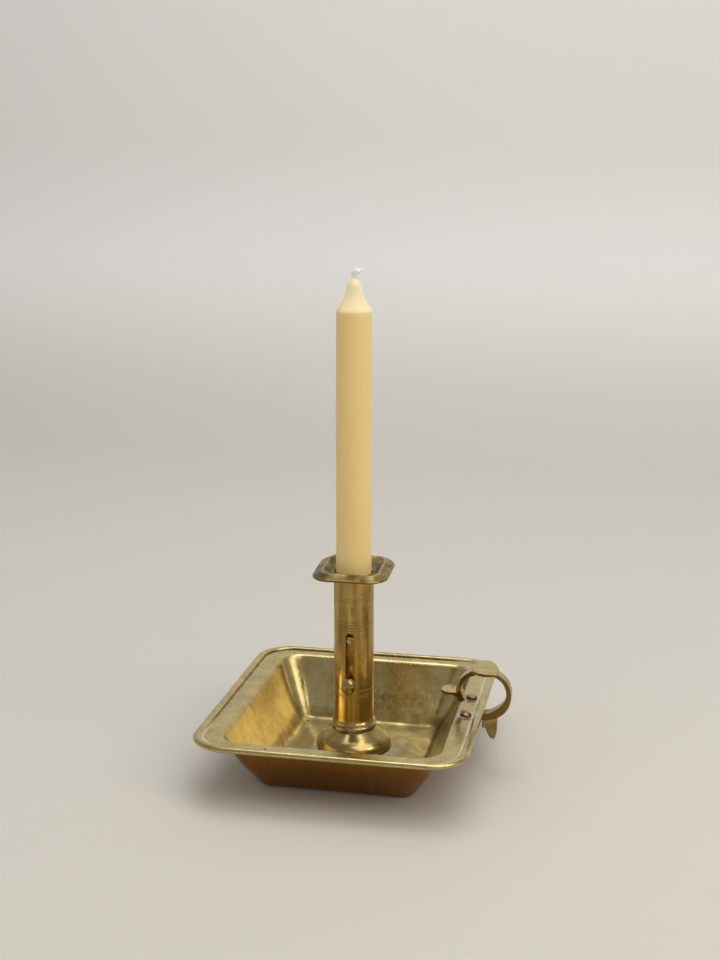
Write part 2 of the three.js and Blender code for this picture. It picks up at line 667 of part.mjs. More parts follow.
function piece(name, geometry, material, height = 0, alongY = 0) {
  const mesh = new THREE.Mesh(geometry, material);
  mesh.name = name;
  mesh.position.set(0, alongY, height);
  return mesh;
}

const tray = new THREE.Group();
tray.add(
  piece('tray', trayGeometry(), brass()),
  piece('rim_wire', rimWireGeometry(), iron()),
  piece('handle', handleGeometry(), castBrass(), 0, HANDLE_ALONG),
);
[['front', -1], ['back', 1]].forEach(([end, side]) => {
  const rivet = rivetGeometry().translate(RIVET_X, 0, 0);
  tray.add(piece(`handle_rivet_${end}`, rivet, copper(), 0, HANDLE_ALONG + side * RIVET_SPACING / 2));
});

const column = new THREE.Group();
const underFloor = FLOOR_RISE - FACE_GAP;
column.add(
  piece('column_foot', footGeometry(), castBrass(), FLOOR_TOP),
  piece('column_tube', tubeGeometry(), brass(), TUBE_FOOT),
  piece('drip_pan', dripPanGeometry(), brass(), TUBE_TOP),
  piece('fixing_washer', washerGeometry(), brass(), underFloor),
  piece('fixing_nut', nutGeometry(), brass(), underFloor - WASHER_THICK - FACE_GAP),
);

const ejector = new THREE.Group();
ejector.position.z = KNOB_HEIGHT;
ejector.add(
  piece('ejector_sleeve', sleeveGeometry(), brass()),
  piece('ejector_disc', discGeometry(), brass()),
  piece('ejector_knob', knobGeometry(), castBrass()),
  piece('knob_boss', knobBossGeometry(), brass()),
);

const candle = new THREE.Group();
candle.position.z = KNOB_HEIGHT + DISC_TOP + FACE_GAP;
candle.add(
  piece('candle', candleGeometry(), wax()),
  piece('wick', wickGeometry(), cotton()),
);

const candlestick = new THREE.Group();
candlestick.name = 'candlestick';
candlestick.position.x = -HANDLE_OVERHANG / 2;
candlestick.add(tray, column, ejector, candle);

export default candlestick;
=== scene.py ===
"""Brass chamber candlestick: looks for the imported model, in metres, in the model's own frame.

Every new piece is worked out in millimetres from the axis of the column, with +Z up, the handle along +X
and the ejector's slot towards -Y, and is moved to the model's frame as its mesh is made.
"""

import math

import bmesh
import bpy
import numpy as np
from mathutils import Matrix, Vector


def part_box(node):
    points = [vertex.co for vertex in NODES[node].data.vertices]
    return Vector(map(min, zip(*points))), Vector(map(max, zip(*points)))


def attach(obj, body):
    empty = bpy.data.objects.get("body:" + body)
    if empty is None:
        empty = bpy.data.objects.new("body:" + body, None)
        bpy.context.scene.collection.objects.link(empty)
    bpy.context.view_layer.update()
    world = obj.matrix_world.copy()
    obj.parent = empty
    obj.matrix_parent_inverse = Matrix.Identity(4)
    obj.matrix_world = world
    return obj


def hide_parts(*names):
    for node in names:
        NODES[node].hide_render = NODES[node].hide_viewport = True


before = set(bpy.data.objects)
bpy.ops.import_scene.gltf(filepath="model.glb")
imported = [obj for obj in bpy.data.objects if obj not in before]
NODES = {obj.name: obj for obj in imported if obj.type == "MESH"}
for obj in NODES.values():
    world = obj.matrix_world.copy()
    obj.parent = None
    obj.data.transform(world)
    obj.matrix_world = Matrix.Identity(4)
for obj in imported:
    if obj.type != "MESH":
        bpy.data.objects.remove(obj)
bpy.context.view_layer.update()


def node_box(name):
    """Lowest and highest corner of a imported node, in millimetres."""
    low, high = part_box(name)
    return np.array(low) * 1000, np.array(high) * 1000


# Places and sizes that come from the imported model
TUBE_LOW, TUBE_HIGH = node_box("column_tube")
AXIS = np.array([(TUBE_LOW[0] + TUBE_HIGH[0]) / 2, 0, 0])
TRAY_HIGH = node_box("tray")[1]
TRAY_HALF = np.array([TRAY_HIGH[0] - AXIS[0], TRAY_HIGH[1]])
FOOT_LOW, FOOT_HIGH = node_box("column_foot")
PAN_HIGH = node_box("drip_pan")[1]
SLEEVE_LOW, SLEEVE_HIGH = node_box("ejector_sleeve")
KNOB_LOW, KNOB_HIGH = node_box("ejector_knob")
CANDLE_LOW, CANDLE_HIGH = node_box("candle")
WICK_HIGH = node_box("wick")[1]
RIVETS = {name: node_box(name) for name in ("handle_rivet_front", "handle_rivet_back")}
RIVET_AT = {name: (low + high) / 2 - AXIS for name, (low, high) in RIVETS.items()}

# Tray, in millimetres
SHEET = 1.2
FLANGE_TOP = 37.7
ROLL_HALF = np.array([2.25, 1.48])
ROLL_SHEET = 0.75
ROLL_HEIGHT = 37.1
ROLL_WIDE = 4.4
RIM_CORNER = 23.5
BOWL_HALF = np.array([66.0, 80.1])
BOWL_CORNER = 15.0
BASE_HALF = np.array([46.5, 55.0])
BASE_CORNER = 6.0
FLOOR_TOP = 8.2
SEAT_RADIUS = 24.2
STUD_HOLE = 4.3
WALL_BELLY = 1.3
WALL_KNOCK = 0.4
FLANGE_KNOCK = 0.2
EDGE_KNOCK = 0.1
FLOOR_KNOCK = 0.15

# Handle, in millimetres
HANDLE_Y = sum(place[1] for place in RIVET_AT.values()) / 2
RING_X = TRAY_HALF[0] - 0.6
RING_Z = 47.8
STRAP_WIDE = 8.2
STRAP_EDGE = 0.45
THUMB_TOP = RING_Z + 17.0
THUMB_THICK = 1.7
LUG_ROOT = 66.5
FOOT_PLATE_LEVELS = (34.45, 36.45)

# Rivets, in millimetres
RIVET_RISE = 2.6
RIVET_SHANK = 1.6
BURR_TOP = 34.4
BLOW_DEPTH = 0.2

# Column and ejector, in millimetres, the knob's stretch as a share
BORE = 11.45
TUBE_RADIUS = 12.35
FLARE = 1.6
FLARE_HIGH = 3.6
SLOT_LOW = TUBE_LOW[2] + 25
SLOT_HIGH = SLOT_LOW + 35
SLOT_HALF = 2.5
RINGS = (106.9, 105.3, 92.2, 90.6, 88.8, 87.1, 48.4, 45.2, 44.0)
RING_DEPTH = 0.08
RING_HALF = 0.17
SPIGOT = 11.1
SLEEVE_OUTER = 11.1
SLEEVE_INNER = 10.3
SLIT_HALF = 1.0
KNOB_SEAT = 11.4
KNOB_NECK = 1.4
KNOB_COLLAR = 2.15
KNOB_BALL = 4.25
KNOB_STRETCH = 0.25
KNOB_RAISED = 0.25

# Drip pan, in millimetres, its lean as a slope
PAN_SHEET = 1.25
PAN_EDGE = np.array([23.5, 22.9])
PAN_RAISED = 1.5
PAN_RIDGE = 17.4
PAN_WELL = 13.6
PAN_LEAN = 0.092
PAN_DROOP = 0.8
PAN_KNOCK = 0.12

# Candle and wick, in millimetres, the fibres by number
CANDLE_RADIUS = 11.0
CANDLE_TOP_RADIUS = 10.7
CANDLE_NECK = 19.0
FLUTE_DEPTH = 0.2
WICK_FIBRES = 240

# Edges sharper than this stay crisp, in degrees
CREASE = 38


# Arrays and meshes

def eased(low, high, value):
    """0 below low, 1 above high, and an even S between them."""
    t = np.clip((value - low) / (high - low), 0, 1)
    return t * t * (3 - 2 * t)


def ripple(points, wavelength, seed, waves=9):
    """Smooth unevenness between about -1 and 1: a sum of sine waves that cross space in random directions,
    each with a wavelength near the one given."""
    random = np.random.default_rng(seed)
    heading = random.normal(size=(waves, 3))
    heading /= np.linalg.norm(heading, axis=1, keepdims=True)
    rate = 2 * math.pi / (wavelength * random.uniform(0.7, 1.6, waves))
    phase = random.uniform(0, 2 * math.pi, waves)
    return np.sin(points @ (heading * rate[:, None]).T + phase).sum(-1) / math.sqrt(waves) / 1.6


def grid_faces(rows, columns, wrap_rows=False, wrap_columns=False):
    """Four-sided faces of a grid of points, closed round on itself in either direction if asked."""
    row = np.arange(rows if wrap_rows else rows - 1)[:, None]
    column = np.arange(columns if wrap_columns else columns - 1)[None, :]
    next_row = (row + 1) % rows
    next_column = (column + 1) % columns
    corners = [
        row * columns + column, row * columns + next_column,
        next_row * columns + next_column, next_row * columns + column,
    ]
    return np.stack(np.broadcast_arrays(*corners), -1).reshape(-1, 4)


def enclosed(points, faces):
    """Volume inside a closed surface: positive when its faces point outwards."""
    a, b, c, d = (points[faces[:, i]] for i in range(4))
    first_half = np.einsum("ij,ij->i", a, np.cross(b, c))
    second_half = np.einsum("ij,ij->i", a, np.cross(c, d))
    return (first_half + second_half).sum() / 6


def stacked(*shells):
    """Several closed surfaces as one set of points and faces, each turned so that it faces outwards."""
    points = []
    faces = []
    count = 0
    for shell_points, shell_faces in shells:
        if enclosed(shell_points, shell_faces) < 0:
            shell_faces = shell_faces[:, ::-1]
        points.append(shell_points)
        faces.append(shell_faces + count)
        count += len(shell_points)
    return np.concatenate(points), np.concatenate(faces)


def mesh_of(name, points, faces, finish=None):
    """A welded mesh in the model's frame. Finish holds three amounts for each point, which its material
    reads: dried polish, tarnish, and metal that was never polished. On some pieces the last amount also lays
    painted shade and a painted reflection, and the tarnish on the tray's floor is partly a painted dark
    reflection."""
    mesh = bpy.data.meshes.new(name)
    mesh.from_pydata(((points + AXIS) / 1000).tolist(), [], faces.tolist())
    if finish is not None:
        layer = mesh.attributes.new("finish", "FLOAT_COLOR", "POINT")
        colours = np.concatenate([np.clip(finish, 0, 1), np.ones((len(points), 1))], 1)
        layer.data.foreach_set("color", colours.astype(np.float32).ravel())
    build = bmesh.new()
    build.from_mesh(mesh)
    bmesh.ops.remove_doubles(build, verts=build.verts, dist=2e-6)
    build.to_mesh(mesh)
    build.free()
    return mesh


def smooth_by_angle(mesh, degrees):
    """Smooth shading, with edges sharper than the angle left crisp."""
    mesh.polygons.foreach_set("use_smooth", np.ones(len(mesh.polygons), bool))
    mesh.set_sharp_from_angle(angle=math.radians(degrees))


def add_piece(name, mesh, material, body, replaced):
    """Puts a finished mesh in the scene, on its body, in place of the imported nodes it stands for."""
    smooth_by_angle(mesh, CREASE)
    mesh.materials.append(material)
    piece = bpy.data.objects.new(name, mesh)
    bpy.context.scene.collection.objects.link(piece)
    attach(piece, body)
    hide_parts(*replaced)


# Lines and surfaces

def rounded_line(corners):
    """A line through corners given as (out, up, bend radius): straight legs, and at each corner a
    circular arc that touches both legs."""
    corners = np.array(corners, float)
    line = [corners[:1, :2]]
    for before, corner, after in zip(corners[:-2], corners[1:-1], corners[2:]):
        leg_in = (corner - before)[:2] / np.linalg.norm((corner - before)[:2])
        leg_out = (after - corner)[:2] / np.linalg.norm((after - corner)[:2])
        turn = math.atan2(leg_in[0] * leg_out[1] - leg_in[1] * leg_out[0], leg_in @ leg_out)
        start = corner[:2] - leg_in * corner[2] * math.tan(abs(turn) / 2)
        side = math.copysign(1, turn)
        centre = start + side * corner[2] * np.array([-leg_in[1], leg_in[0]])
        angle = math.atan2(-side * leg_in[0], side * leg_in[1]) + np.linspace(0, turn, 25)
        line.append(centre + corner[2] * np.stack([np.cos(angle), np.sin(angle)], 1))
    line.append(corners[-1:, :2])
    return np.concatenate(line)


def resampled(line, pace, turn):
    """The same line with a point for each pace of length and for each turn of its direction, which is in
    degrees."""
    leg = np.diff(line, axis=0)
    length = np.hypot(leg[:, 0], leg[:, 1])
    kept = length >= 1e-6
    line = np.concatenate([line[:1], line[1:][kept]])
    leg = leg[kept]
    length = length[kept]
    heading = np.unwrap(np.arctan2(leg[:, 1], leg[:, 0]))
    bend = np.abs(np.diff(heading, prepend=heading[0]))
    measure = np.concatenate([[0], np.cumsum(length / pace + bend / math.radians(turn))])
    at = np.linspace(0, measure[-1], math.ceil(measure[-1]) + 1)
    return np.stack([np.interp(at, measure, line[:, 0]), np.interp(at, measure, line[:, 1])], 1)


def curve_through(points, steps):
    """A smooth line through points: each span is a cubic that leaves and reaches its ends in the
    direction of the line between their two neighbours."""
    points = np.array(points, float)
    padded = np.concatenate([2 * points[:1] - points[1:2], points, 2 * points[-1:] - points[-2:-1]])
    a, b, c, d = padded[:-3], padded[1:-2], padded[2:-1], padded[3:]
    t = np.linspace(0, 1, steps, endpoint=False)[:, None, None]
    straight = t / 2 * (c - a)
    squared = t ** 2 / 2 * (2 * a - 5 * b + 4 * c - d)
    cubed = t ** 3 / 2 * (3 * b - a - 3 * c + d)
    spans = b + straight + squared + cubed
    return np.concatenate([spans.swapaxes(0, 1).reshape(-1, points.shape[1]), points[-1:]])


def left_of(line):
    """Unit normals on the left of a line's direction."""
    along = np.gradient(line, axis=0)
    along /= np.linalg.norm(along, axis=1, keepdims=True)
    return np.stack([-along[:, 1], along[:, 0]], 1)


def once_round(corner_steps, side_steps):
    """Once round a rectangle with rounded corners: the angle of the outward normal at each step, and the
    place of the corner's centre as signs along X and Y, which run from corner to corner along a side."""
    signs = np.array([[1, 1], [-1, 1], [-1, -1], [1, -1], [1, 1]], float)
    on_arc = np.linspace(0, 1, corner_steps, endpoint=False)
    on_side = np.linspace(0, 1, side_steps, endpoint=False)
    angle = np.concatenate([np.concatenate([q + on_arc, np.full(side_steps, q + 1)]) for q in range(4)])
    centre = np.concatenate([
        np.concatenate([
            np.repeat(signs[q:q + 1], corner_steps, 0),
            signs[q] + on_side[:, None] * (signs[q + 1] - signs[q]),
        ]) for q in range(4)
    ])
    return angle * math.pi / 2, centre[:, 0], centre[:, 1]


def outline_loft(section, half_y, corner, corner_steps, side_steps):
    """A section carried round rectangles with rounded corners: at each section point the rectangle's
    half length along X is the point's own distance out, and half_y and corner give its other half length
    and its corner radius."""
    angle, sign_x, sign_y = once_round(corner_steps, side_steps)
    out, up = section[:, :1], section[:, 1:]
    half_y = half_y[:, None]
    corner = corner[:, None]
    x = sign_x * (out - corner) + corner * np.cos(angle)
    y = sign_y * (half_y - corner) + corner * np.sin(angle)
    return np.stack(np.broadcast_arrays(x, y, up), -1), angle


def lathe(profile, steps):
    """A profile of (radius, height) turned about Z."""
    angle = np.linspace(0, 2 * math.pi, steps, endpoint=False)
    radius, height = profile[:, :1], profile[:, 1:]
    return np.stack(np.broadcast_arrays(radius * np.cos(angle), radius * np.sin(angle), height), -1)


def lathe_shell(profile, steps):
    """The turned surface as points and faces, for a profile that starts and ends on the axis or meets
    itself."""
    grid = lathe(profile, steps)
    return grid.reshape(-1, 3), grid_faces(len(profile), steps, wrap_columns=True)


# Materials

def linear(hex_colour):
    """An sRGB hex colour as linear red, green, blue and alpha."""
    part = np.array([int(hex_colour[i:i + 2], 16) for i in (1, 3, 5)]) / 255
    value = np.where(part <= 0.04045, part / 12.92, ((part + 0.055) / 1.055) ** 2.4)
    return (*value.tolist(), 1.0)


def add(tree, kind, settings=None, inputs=None):
    """Adds one node. Settings are its own properties. Inputs are values, or output sockets to link
    from."""
    node = tree.nodes.new(kind)
    for key, value in (settings or {}).items():
        setattr(node, key, value)
    for key, value in (inputs or {}).items():
        if isinstance(value, bpy.types.NodeSocket):
            tree.links.new(value, node.inputs[key])
        else:
            node.inputs[key].default_value = value
    return node


def new_material(name):
    """An empty node material: its tree and its shader."""
    material = bpy.data.materials.new(name)
    material.use_nodes = True
    tree = material.node_tree
    tree.nodes.clear()
    shader = add(tree, "ShaderNodeBsdfPrincipled")
    add(tree, "ShaderNodeOutputMaterial", inputs={"Surface": shader.outputs["BSDF"]})
    return material, tree, shader


def per_metre(millimetres):
    """Scale of a pattern whose marks are this far apart."""
    return 1000 / millimetres


def near(tree, place, centre, inner, outer):
    """1 within the inner radius of a place in millimetres, easing to 0 at the outer one."""
    away = add(tree, "ShaderNodeVectorMath", {"operation": "DISTANCE"}, {
        0: place, 1: tuple((np.array(centre) + AXIS) / 1000)})
    return add(tree, "ShaderNodeMapRange", {"interpolation_type": "SMOOTHSTEP"}, {
        "Value": away.outputs["Value"], "From Min": inner / 1000, "From Max": outer / 1000,
        "To Min": 1.0, "To Max": 0.0}).outputs["Result"]


PIT_COLOUR = "#2a1d0c"
DRIED_POLISH = "#cfd4c6"


def old_brass(name, polished, warm, tarnish, bare_and_shaded, gloss, brush, grain=(1, 1, 1),
              residue_at=(), spots_at=()):
    """Worked brass that has been handled and polished for a century. The eye reads its yellow
    reflections, slow drifts between yellow and brown where the polish has not reached, hair scratches from
    wiping, dark pits, and pale dried polish in the seams. On some pieces the colour of metal never polished
    also lays painted shade and a painted reflection.
    Polished, warm, tarnish and bare are its colours. Gloss is the roughness of the best places. Brush and
    grain are the stretch of the wiping marks and of the drifts along X, Y and Z. Residue_at lists places
    ringed with dried polish, and spots_at black spots, both as (place in millimetres, inner radius,
    outer radius)."""
    material, tree, shader = new_material(name)
    place = add(tree, "ShaderNodeTexCoord").outputs["Object"]
    finish = add(tree, "ShaderNodeAttribute", {"attribute_name": "finish"})
    amounts = add(tree, "ShaderNodeSeparateColor", inputs={"Color": finish.outputs["Color"]})

    # Slow drifts of tone, 30 mm and 7 mm across
    drawn = add(tree, "ShaderNodeMapping", inputs={"Vector": place, "Scale": grain}).outputs["Vector"]
    drift = add(tree, "ShaderNodeTexNoise", inputs={
        "Vector": drawn, "Scale": per_metre(30), "Detail": 5.0, "Roughness": 0.6, "Distortion": 0.6})
    mottle = add(tree, "ShaderNodeTexNoise", inputs={
        "Vector": drawn, "Scale": per_metre(7), "Detail": 4.0, "Roughness": 0.52})
    # Wiping marks: hair lines about 0.9 mm apart, drawn that coarse so that they show
    stretched = add(tree, "ShaderNodeMapping", inputs={"Vector": place, "Scale": brush})
    hair = add(tree, "ShaderNodeTexNoise", inputs={
        "Vector": stretched.outputs["Vector"], "Scale": per_metre(0.9), "Detail": 4.0, "Roughness": 0.7})
    # Pits: one here and there, about 0.5 mm wide, in cells 20 mm across
    cells = add(tree, "ShaderNodeTexVoronoi", inputs={"Vector": place, "Scale": per_metre(20)})
    pit_edge = add(tree, "ShaderNodeMapRange", inputs={
        "Value": cells.outputs["Distance"], "From Min": 0.008, "From Max": 0.018,
        "To Min": 1.0, "To Max": 0.0})
    chosen = add(tree, "ShaderNodeSeparateColor", inputs={"Color": cells.outputs["Color"]})
    few = add(tree, "ShaderNodeMath", {"operation": "GREATER_THAN"}, {0: chosen.outputs["Red"], 1: 0.6})
    pits = add(tree, "ShaderNodeMath", {"operation": "MULTIPLY"}, {
        0: pit_edge.outputs["Result"], 1: few.outputs["Value"]}).outputs["Value"]
    for spot in spots_at:
        pits = add(tree, "ShaderNodeMath", {"operation": "MAXIMUM"}, {
            0: pits, 1: near(tree, place, *spot)}).outputs["Value"]

    # Tarnish grows in the drifts and where the surface says polish does not reach
    in_drift = add(tree, "ShaderNodeMapRange", inputs={
        "Value": drift.outputs["Fac"], "From Min": 0.45, "From Max": 0.75, "To Max": 0.45})
    spotted = add(tree, "ShaderNodeMapRange", inputs={
        "Value": mottle.outputs["Fac"], "From Min": 0.3, "From Max": 0.7, "To Min": 0.35, "To Max": 1.3})
    held = add(tree, "ShaderNodeMath", {"operation": "MULTIPLY"}, {
        0: amounts.outputs["Green"], 1: spotted.outputs["Result"]})
    dull = add(tree, "ShaderNodeMath", {"operation": "MAXIMUM", "use_clamp": True}, {
        0: in_drift.outputs["Result"], 1: held.outputs["Value"]})
    tone = add(tree, "ShaderNodeMapRange", inputs={
        "Value": mottle.outputs["Fac"], "From Min": 0.3, "From Max": 0.7})
    yellow = add(tree, "ShaderNodeMix", {"data_type": "RGBA"}, {
        0: tone.outputs["Result"], 6: linear(polished), 7: linear(warm)})
    browned = add(tree, "ShaderNodeMix", {"data_type": "RGBA"}, {
        0: dull.outputs["Value"], 6: yellow.outputs[2], 7: linear(tarnish)})
    # Metal never polished, which on some pieces is also painted shade and a painted reflection
    unpolished_and_shaded = add(tree, "ShaderNodeMix", {"data_type": "RGBA"}, {
        0: amounts.outputs["Blue"], 6: browned.outputs[2], 7: linear(bare_and_shaded)})
    pitted = add(tree, "ShaderNodeMix", {"data_type": "RGBA"}, {
        0: pits, 6: unpolished_and_shaded.outputs[2], 7: linear(PIT_COLOUR)})

    # Dried polish: in the seams, and in rings round the rivets, broken up by the mottle
    residue = amounts.outputs["Red"]
    for ring in residue_at:
        residue = add(tree, "ShaderNodeMath", {"operation": "MAXIMUM"}, {
            0: residue, 1: near(tree, place, *ring)}).outputs["Value"]
    broken = add(tree, "ShaderNodeMapRange", inputs={
        "Value": mottle.outputs["Fac"], "From Min": 0.35, "From Max": 0.55, "To Min": 0.35})
    pale = add(tree, "ShaderNodeMath", {"operation": "MULTIPLY", "use_clamp": True}, {
        0: residue, 1: broken.outputs["Result"]})
    colour = add(tree, "ShaderNodeMix", {"data_type": "RGBA"}, {
        0: pale.outputs["Value"], 6: pitted.outputs[2], 7: linear(DRIED_POLISH)})
    metal = add(tree, "ShaderNodeMapRange", inputs={
        "Value": pale.outputs["Value"], "To Min": 1.0, "To Max": 0.15})

    # Roughness: best polish, more in tarnish, wiping marks and dried polish
    wiped = add(tree, "ShaderNodeMapRange", inputs={
        "Value": hair.outputs["Fac"], "From Min": 0.3, "From Max": 0.7,
        "To Min": gloss - 0.05, "To Max": gloss + 0.1})
    dulled = add(tree, "ShaderNodeMath", {"operation": "MULTIPLY_ADD"}, {
        0: dull.outputs["Value"], 1: 0.16, 2: wiped.outputs["Result"]})
    rough = add(tree, "ShaderNodeMath", {"operation": "MULTIPLY_ADD", "use_clamp": True}, {
        0: pale.outputs["Value"], 1: 0.35, 2: dulled.outputs["Value"]})

    # Relief: sheet that was hammered and rubbed flat, wiping marks, pits that dip
    hammered = add(tree, "ShaderNodeBump", inputs={
        "Height": mottle.outputs["Fac"], "Strength": 0.06, "Distance": 0.0005})
    scratched = add(tree, "ShaderNodeBump", inputs={
        "Height": hair.outputs["Fac"], "Strength": 0.035, "Distance": 0.00012,
        "Normal": hammered.outputs["Normal"]})
    dipped = add(tree, "ShaderNodeBump", {"invert": True}, {
        "Height": pits, "Strength": 0.5, "Distance": 0.0002,
        "Normal": scratched.outputs["Normal"]})
    for key, socket in (
        ("Base Color", colour.outputs[2]), ("Metallic", metal.outputs["Result"]),
        ("Roughness", rough.outputs["Value"]), ("Normal", dipped.outputs["Normal"]),
    ):
        tree.links.new(socket, shader.inputs[key])
    return material


def hammered_copper():
    """Copper rivet heads, closed with a hammer and darkened: the eye reads a red-brown dome with a
    nearly black edge and small flat blows that catch the light."""
    material, tree, shader = new_material("copper_hammered")
    place = add(tree, "ShaderNodeTexCoord").outputs["Object"]
    finish = add(tree, "ShaderNodeAttribute", {"attribute_name": "finish"})
    amounts = add(tree, "ShaderNodeSeparateColor", inputs={"Color": finish.outputs["Color"]})
    stain = add(tree, "ShaderNodeTexNoise", inputs={
        "Vector": place, "Scale": per_metre(1.6), "Detail": 5.0, "Roughness": 0.6})
    bright = add(tree, "ShaderNodeMix", {"data_type": "RGBA"}, {
        0: stain.outputs["Fac"], 6: linear("#c39c84"), 7: linear("#8d6350")})
    darkened = add(tree, "ShaderNodeMix", {"data_type": "RGBA"}, {
        0: amounts.outputs["Green"], 6: bright.outputs[2], 7: linear("#4a3026")})
    rough = add(tree, "ShaderNodeMapRange", inputs={
        "Value": stain.outputs["Fac"], "From Min": 0.3, "From Max": 0.7, "To Min": 0.26, "To Max": 0.45})
    relief = add(tree, "ShaderNodeBump", inputs={
        "Height": stain.outputs["Fac"], "Strength": 0.25, "Distance": 0.0002})
    shader.inputs["Metallic"].default_value = 1.0
    tree.links.new(darkened.outputs[2], shader.inputs["Base Color"])
    tree.links.new(rough.outputs["Result"], shader.inputs["Roughness"])
    tree.links.new(relief.outputs["Normal"], shader.inputs["Normal"])
    return material


def candle_wax():
    """Stearin and beeswax, drawn smooth and dipped at the top: the eye reads a soft honey body lit from
    within, cloudy drifts, faint drawing lines along it, and a paler neck where the wax is thin."""
    material, tree, shader = new_material("candle_wax")
    place = add(tree, "ShaderNodeTexCoord").outputs["Object"]
    height = add(tree, "ShaderNodeSeparateXYZ", inputs={"Vector": place})
    cloud = add(tree, "ShaderNodeTexNoise", inputs={
        "Vector": place, "Scale": per_metre(26), "Detail": 4.0, "Roughness": 0.5})
    drawn = add(tree, "ShaderNodeMapping", inputs={"Vector": place, "Scale": (1.0, 1.0, 0.03)})
    lines = add(tree, "ShaderNodeTexNoise", inputs={
        "Vector": drawn.outputs["Vector"], "Scale": per_metre(2.2), "Detail": 3.0})
    body = add(tree, "ShaderNodeMix", {"data_type": "RGBA"}, {
        0: cloud.outputs["Fac"], 6: linear("#f4dc9e"), 7: linear("#edcd88")})
    shoulder = CANDLE_HIGH[2] - CANDLE_NECK
    lip = add(tree, "ShaderNodeMapRange", {"interpolation_type": "SMOOTHSTEP"}, {
        "Value": height.outputs["Z"], "From Min": (shoulder - 3.4) / 1000,
        "From Max": (shoulder + 0.6) / 1000, "To Max": 0.46})
    rising = add(tree, "ShaderNodeMapRange", inputs={
        "Value": height.outputs["Z"], "From Min": shoulder / 1000,
        "From Max": (shoulder + 15) / 1000, "To Max": 0.4})
    thin = add(tree, "ShaderNodeMath", {"operation": "ADD"}, {
        0: lip.outputs["Result"], 1: rising.outputs["Result"]})
    colour = add(tree, "ShaderNodeMix", {"data_type": "RGBA"}, {
        0: thin.outputs["Value"], 6: body.outputs[2], 7: linear("#f6efcc")})
    rough = add(tree, "ShaderNodeMapRange", inputs={
        "Value": lines.outputs["Fac"], "From Min": 0.3, "From Max": 0.7, "To Min": 0.34, "To Max": 0.48})
    relief = add(tree, "ShaderNodeBump", inputs={
        "Height": lines.outputs["Fac"], "Strength": 0.12, "Distance": 0.0003})
    shader.inputs["IOR"].default_value = 1.44
    shader.inputs["Subsurface Weight"].default_value = 0.5
    shader.inputs["Subsurface Radius"].default_value = (1.0, 0.62, 0.3)
    shader.inputs["Subsurface Scale"].default_value = 0.006
    tree.links.new(colour.outputs[2], shader.inputs["Base Color"])
    tree.links.new(rough.outputs["Result"], shader.inputs["Roughness"])
    tree.links.new(relief.outputs["Normal"], shader.inputs["Normal"])
    return material


def bleached_cotton():
    """Braided cotton wick, bleached and unburnt: the eye reads white, dry fibres with a little grey
    between them and a trace of wax where it leaves the candle."""
    material, tree, shader = new_material("cotton_bleached")
    place = add(tree, "ShaderNodeTexCoord").outputs["Object"]
    height = add(tree, "ShaderNodeSeparateXYZ", inputs={"Vector": place})
    fibre = add(tree, "ShaderNodeTexNoise", inputs={
        "Vector": place, "Scale": per_metre(0.35), "Detail": 3.0, "Roughness": 0.6})
    white = add(tree, "ShaderNodeMix", {"data_type": "RGBA"}, {
        0: fibre.outputs["Fac"], 6: linear("#fdfefe"), 7: linear("#f2f4f4")})
    waxed = add(tree, "ShaderNodeMapRange", inputs={
        "Value": height.outputs["Z"], "From Min": (CANDLE_HIGH[2] - 0.5) / 1000,
        "From Max": (CANDLE_HIGH[2] + 2.0) / 1000, "To Min": 0.8, "To Max": 0.0})
    colour = add(tree, "ShaderNodeMix", {"data_type": "RGBA"}, {
        0: waxed.outputs["Result"], 6: white.outputs[2], 7: linear("#efe6c6")})
    relief = add(tree, "ShaderNodeBump", inputs={
        "Height": fibre.outputs["Fac"], "Strength": 0.4, "Distance": 0.0001})
    shader.inputs["Roughness"].default_value = 0.9
    shader.inputs["Sheen Weight"].default_value = 0.25
    tree.links.new(colour.outputs[2], shader.inputs["Base Color"])
    tree.links.new(relief.outputs["Normal"], shader.inputs["Normal"])
    return material


def drawn_iron():
    """Drawn iron wire inside the rolled edge: dark grey with a trace of rust."""
    material, tree, shader = new_material("iron_wire_drawn")
    place = add(tree, "ShaderNodeTexCoord").outputs["Object"]
    rust = add(tree, "ShaderNodeTexNoise", inputs={
        "Vector": place, "Scale": per_metre(4), "Detail": 5.0, "Roughness": 0.6})
    colour = add(tree, "ShaderNodeMix", {"data_type": "RGBA"}, {
        0: rust.outputs["Fac"], 6: linear("#55504a"), 7: linear("#5d4030")})
    shader.inputs["Metallic"].default_value = 1.0
    shader.inputs["Roughness"].default_value = 0.55
    tree.links.new(colour.outputs[2], shader.inputs["Base Color"])
    return material


# Dried polish and black spots, as (place, inner radius, outer radius) in millimetres
RIVET_RINGS = [((place[0], place[1], FLANGE_TOP), 3.8, 5.2) for place in RIVET_AT.values()]
RIVET_RINGS += [((75.8, 12.2, FLANGE_TOP), 0.7, 2.0), ((75.9, 17.6, FLANGE_TOP), 0.6, 1.8)]
TRAY_SPOTS = [((-41.5, 49.5, 2.0), 0.8, 1.5), ((-34.4, -85.1, 37.4), 0.5, 1.1)]
TUBE_SPOTS = [((1.4, -12.3, z), 0.15, 0.45) for z in (101.6, 100.7, 99.6, 98.5, 97.4)]
TUBE_SPOTS += [((7.7, -9.65, z), 0.15, 0.4) for z in (102.0, 101.0, 99.9, 99.2)]
TUBE_SPOTS += [((5.6, -11.0, z), 0.1, 0.35) for z in (56.4, 55.4, 54.2, 52.8, 51.2, 49.8)]
CAST_SPOTS = [((80.3, 0.8, THUMB_TOP), 0.35, 0.8), ((61.4, 7.2, RING_Z + 0.8), 0.1, 1.5)]
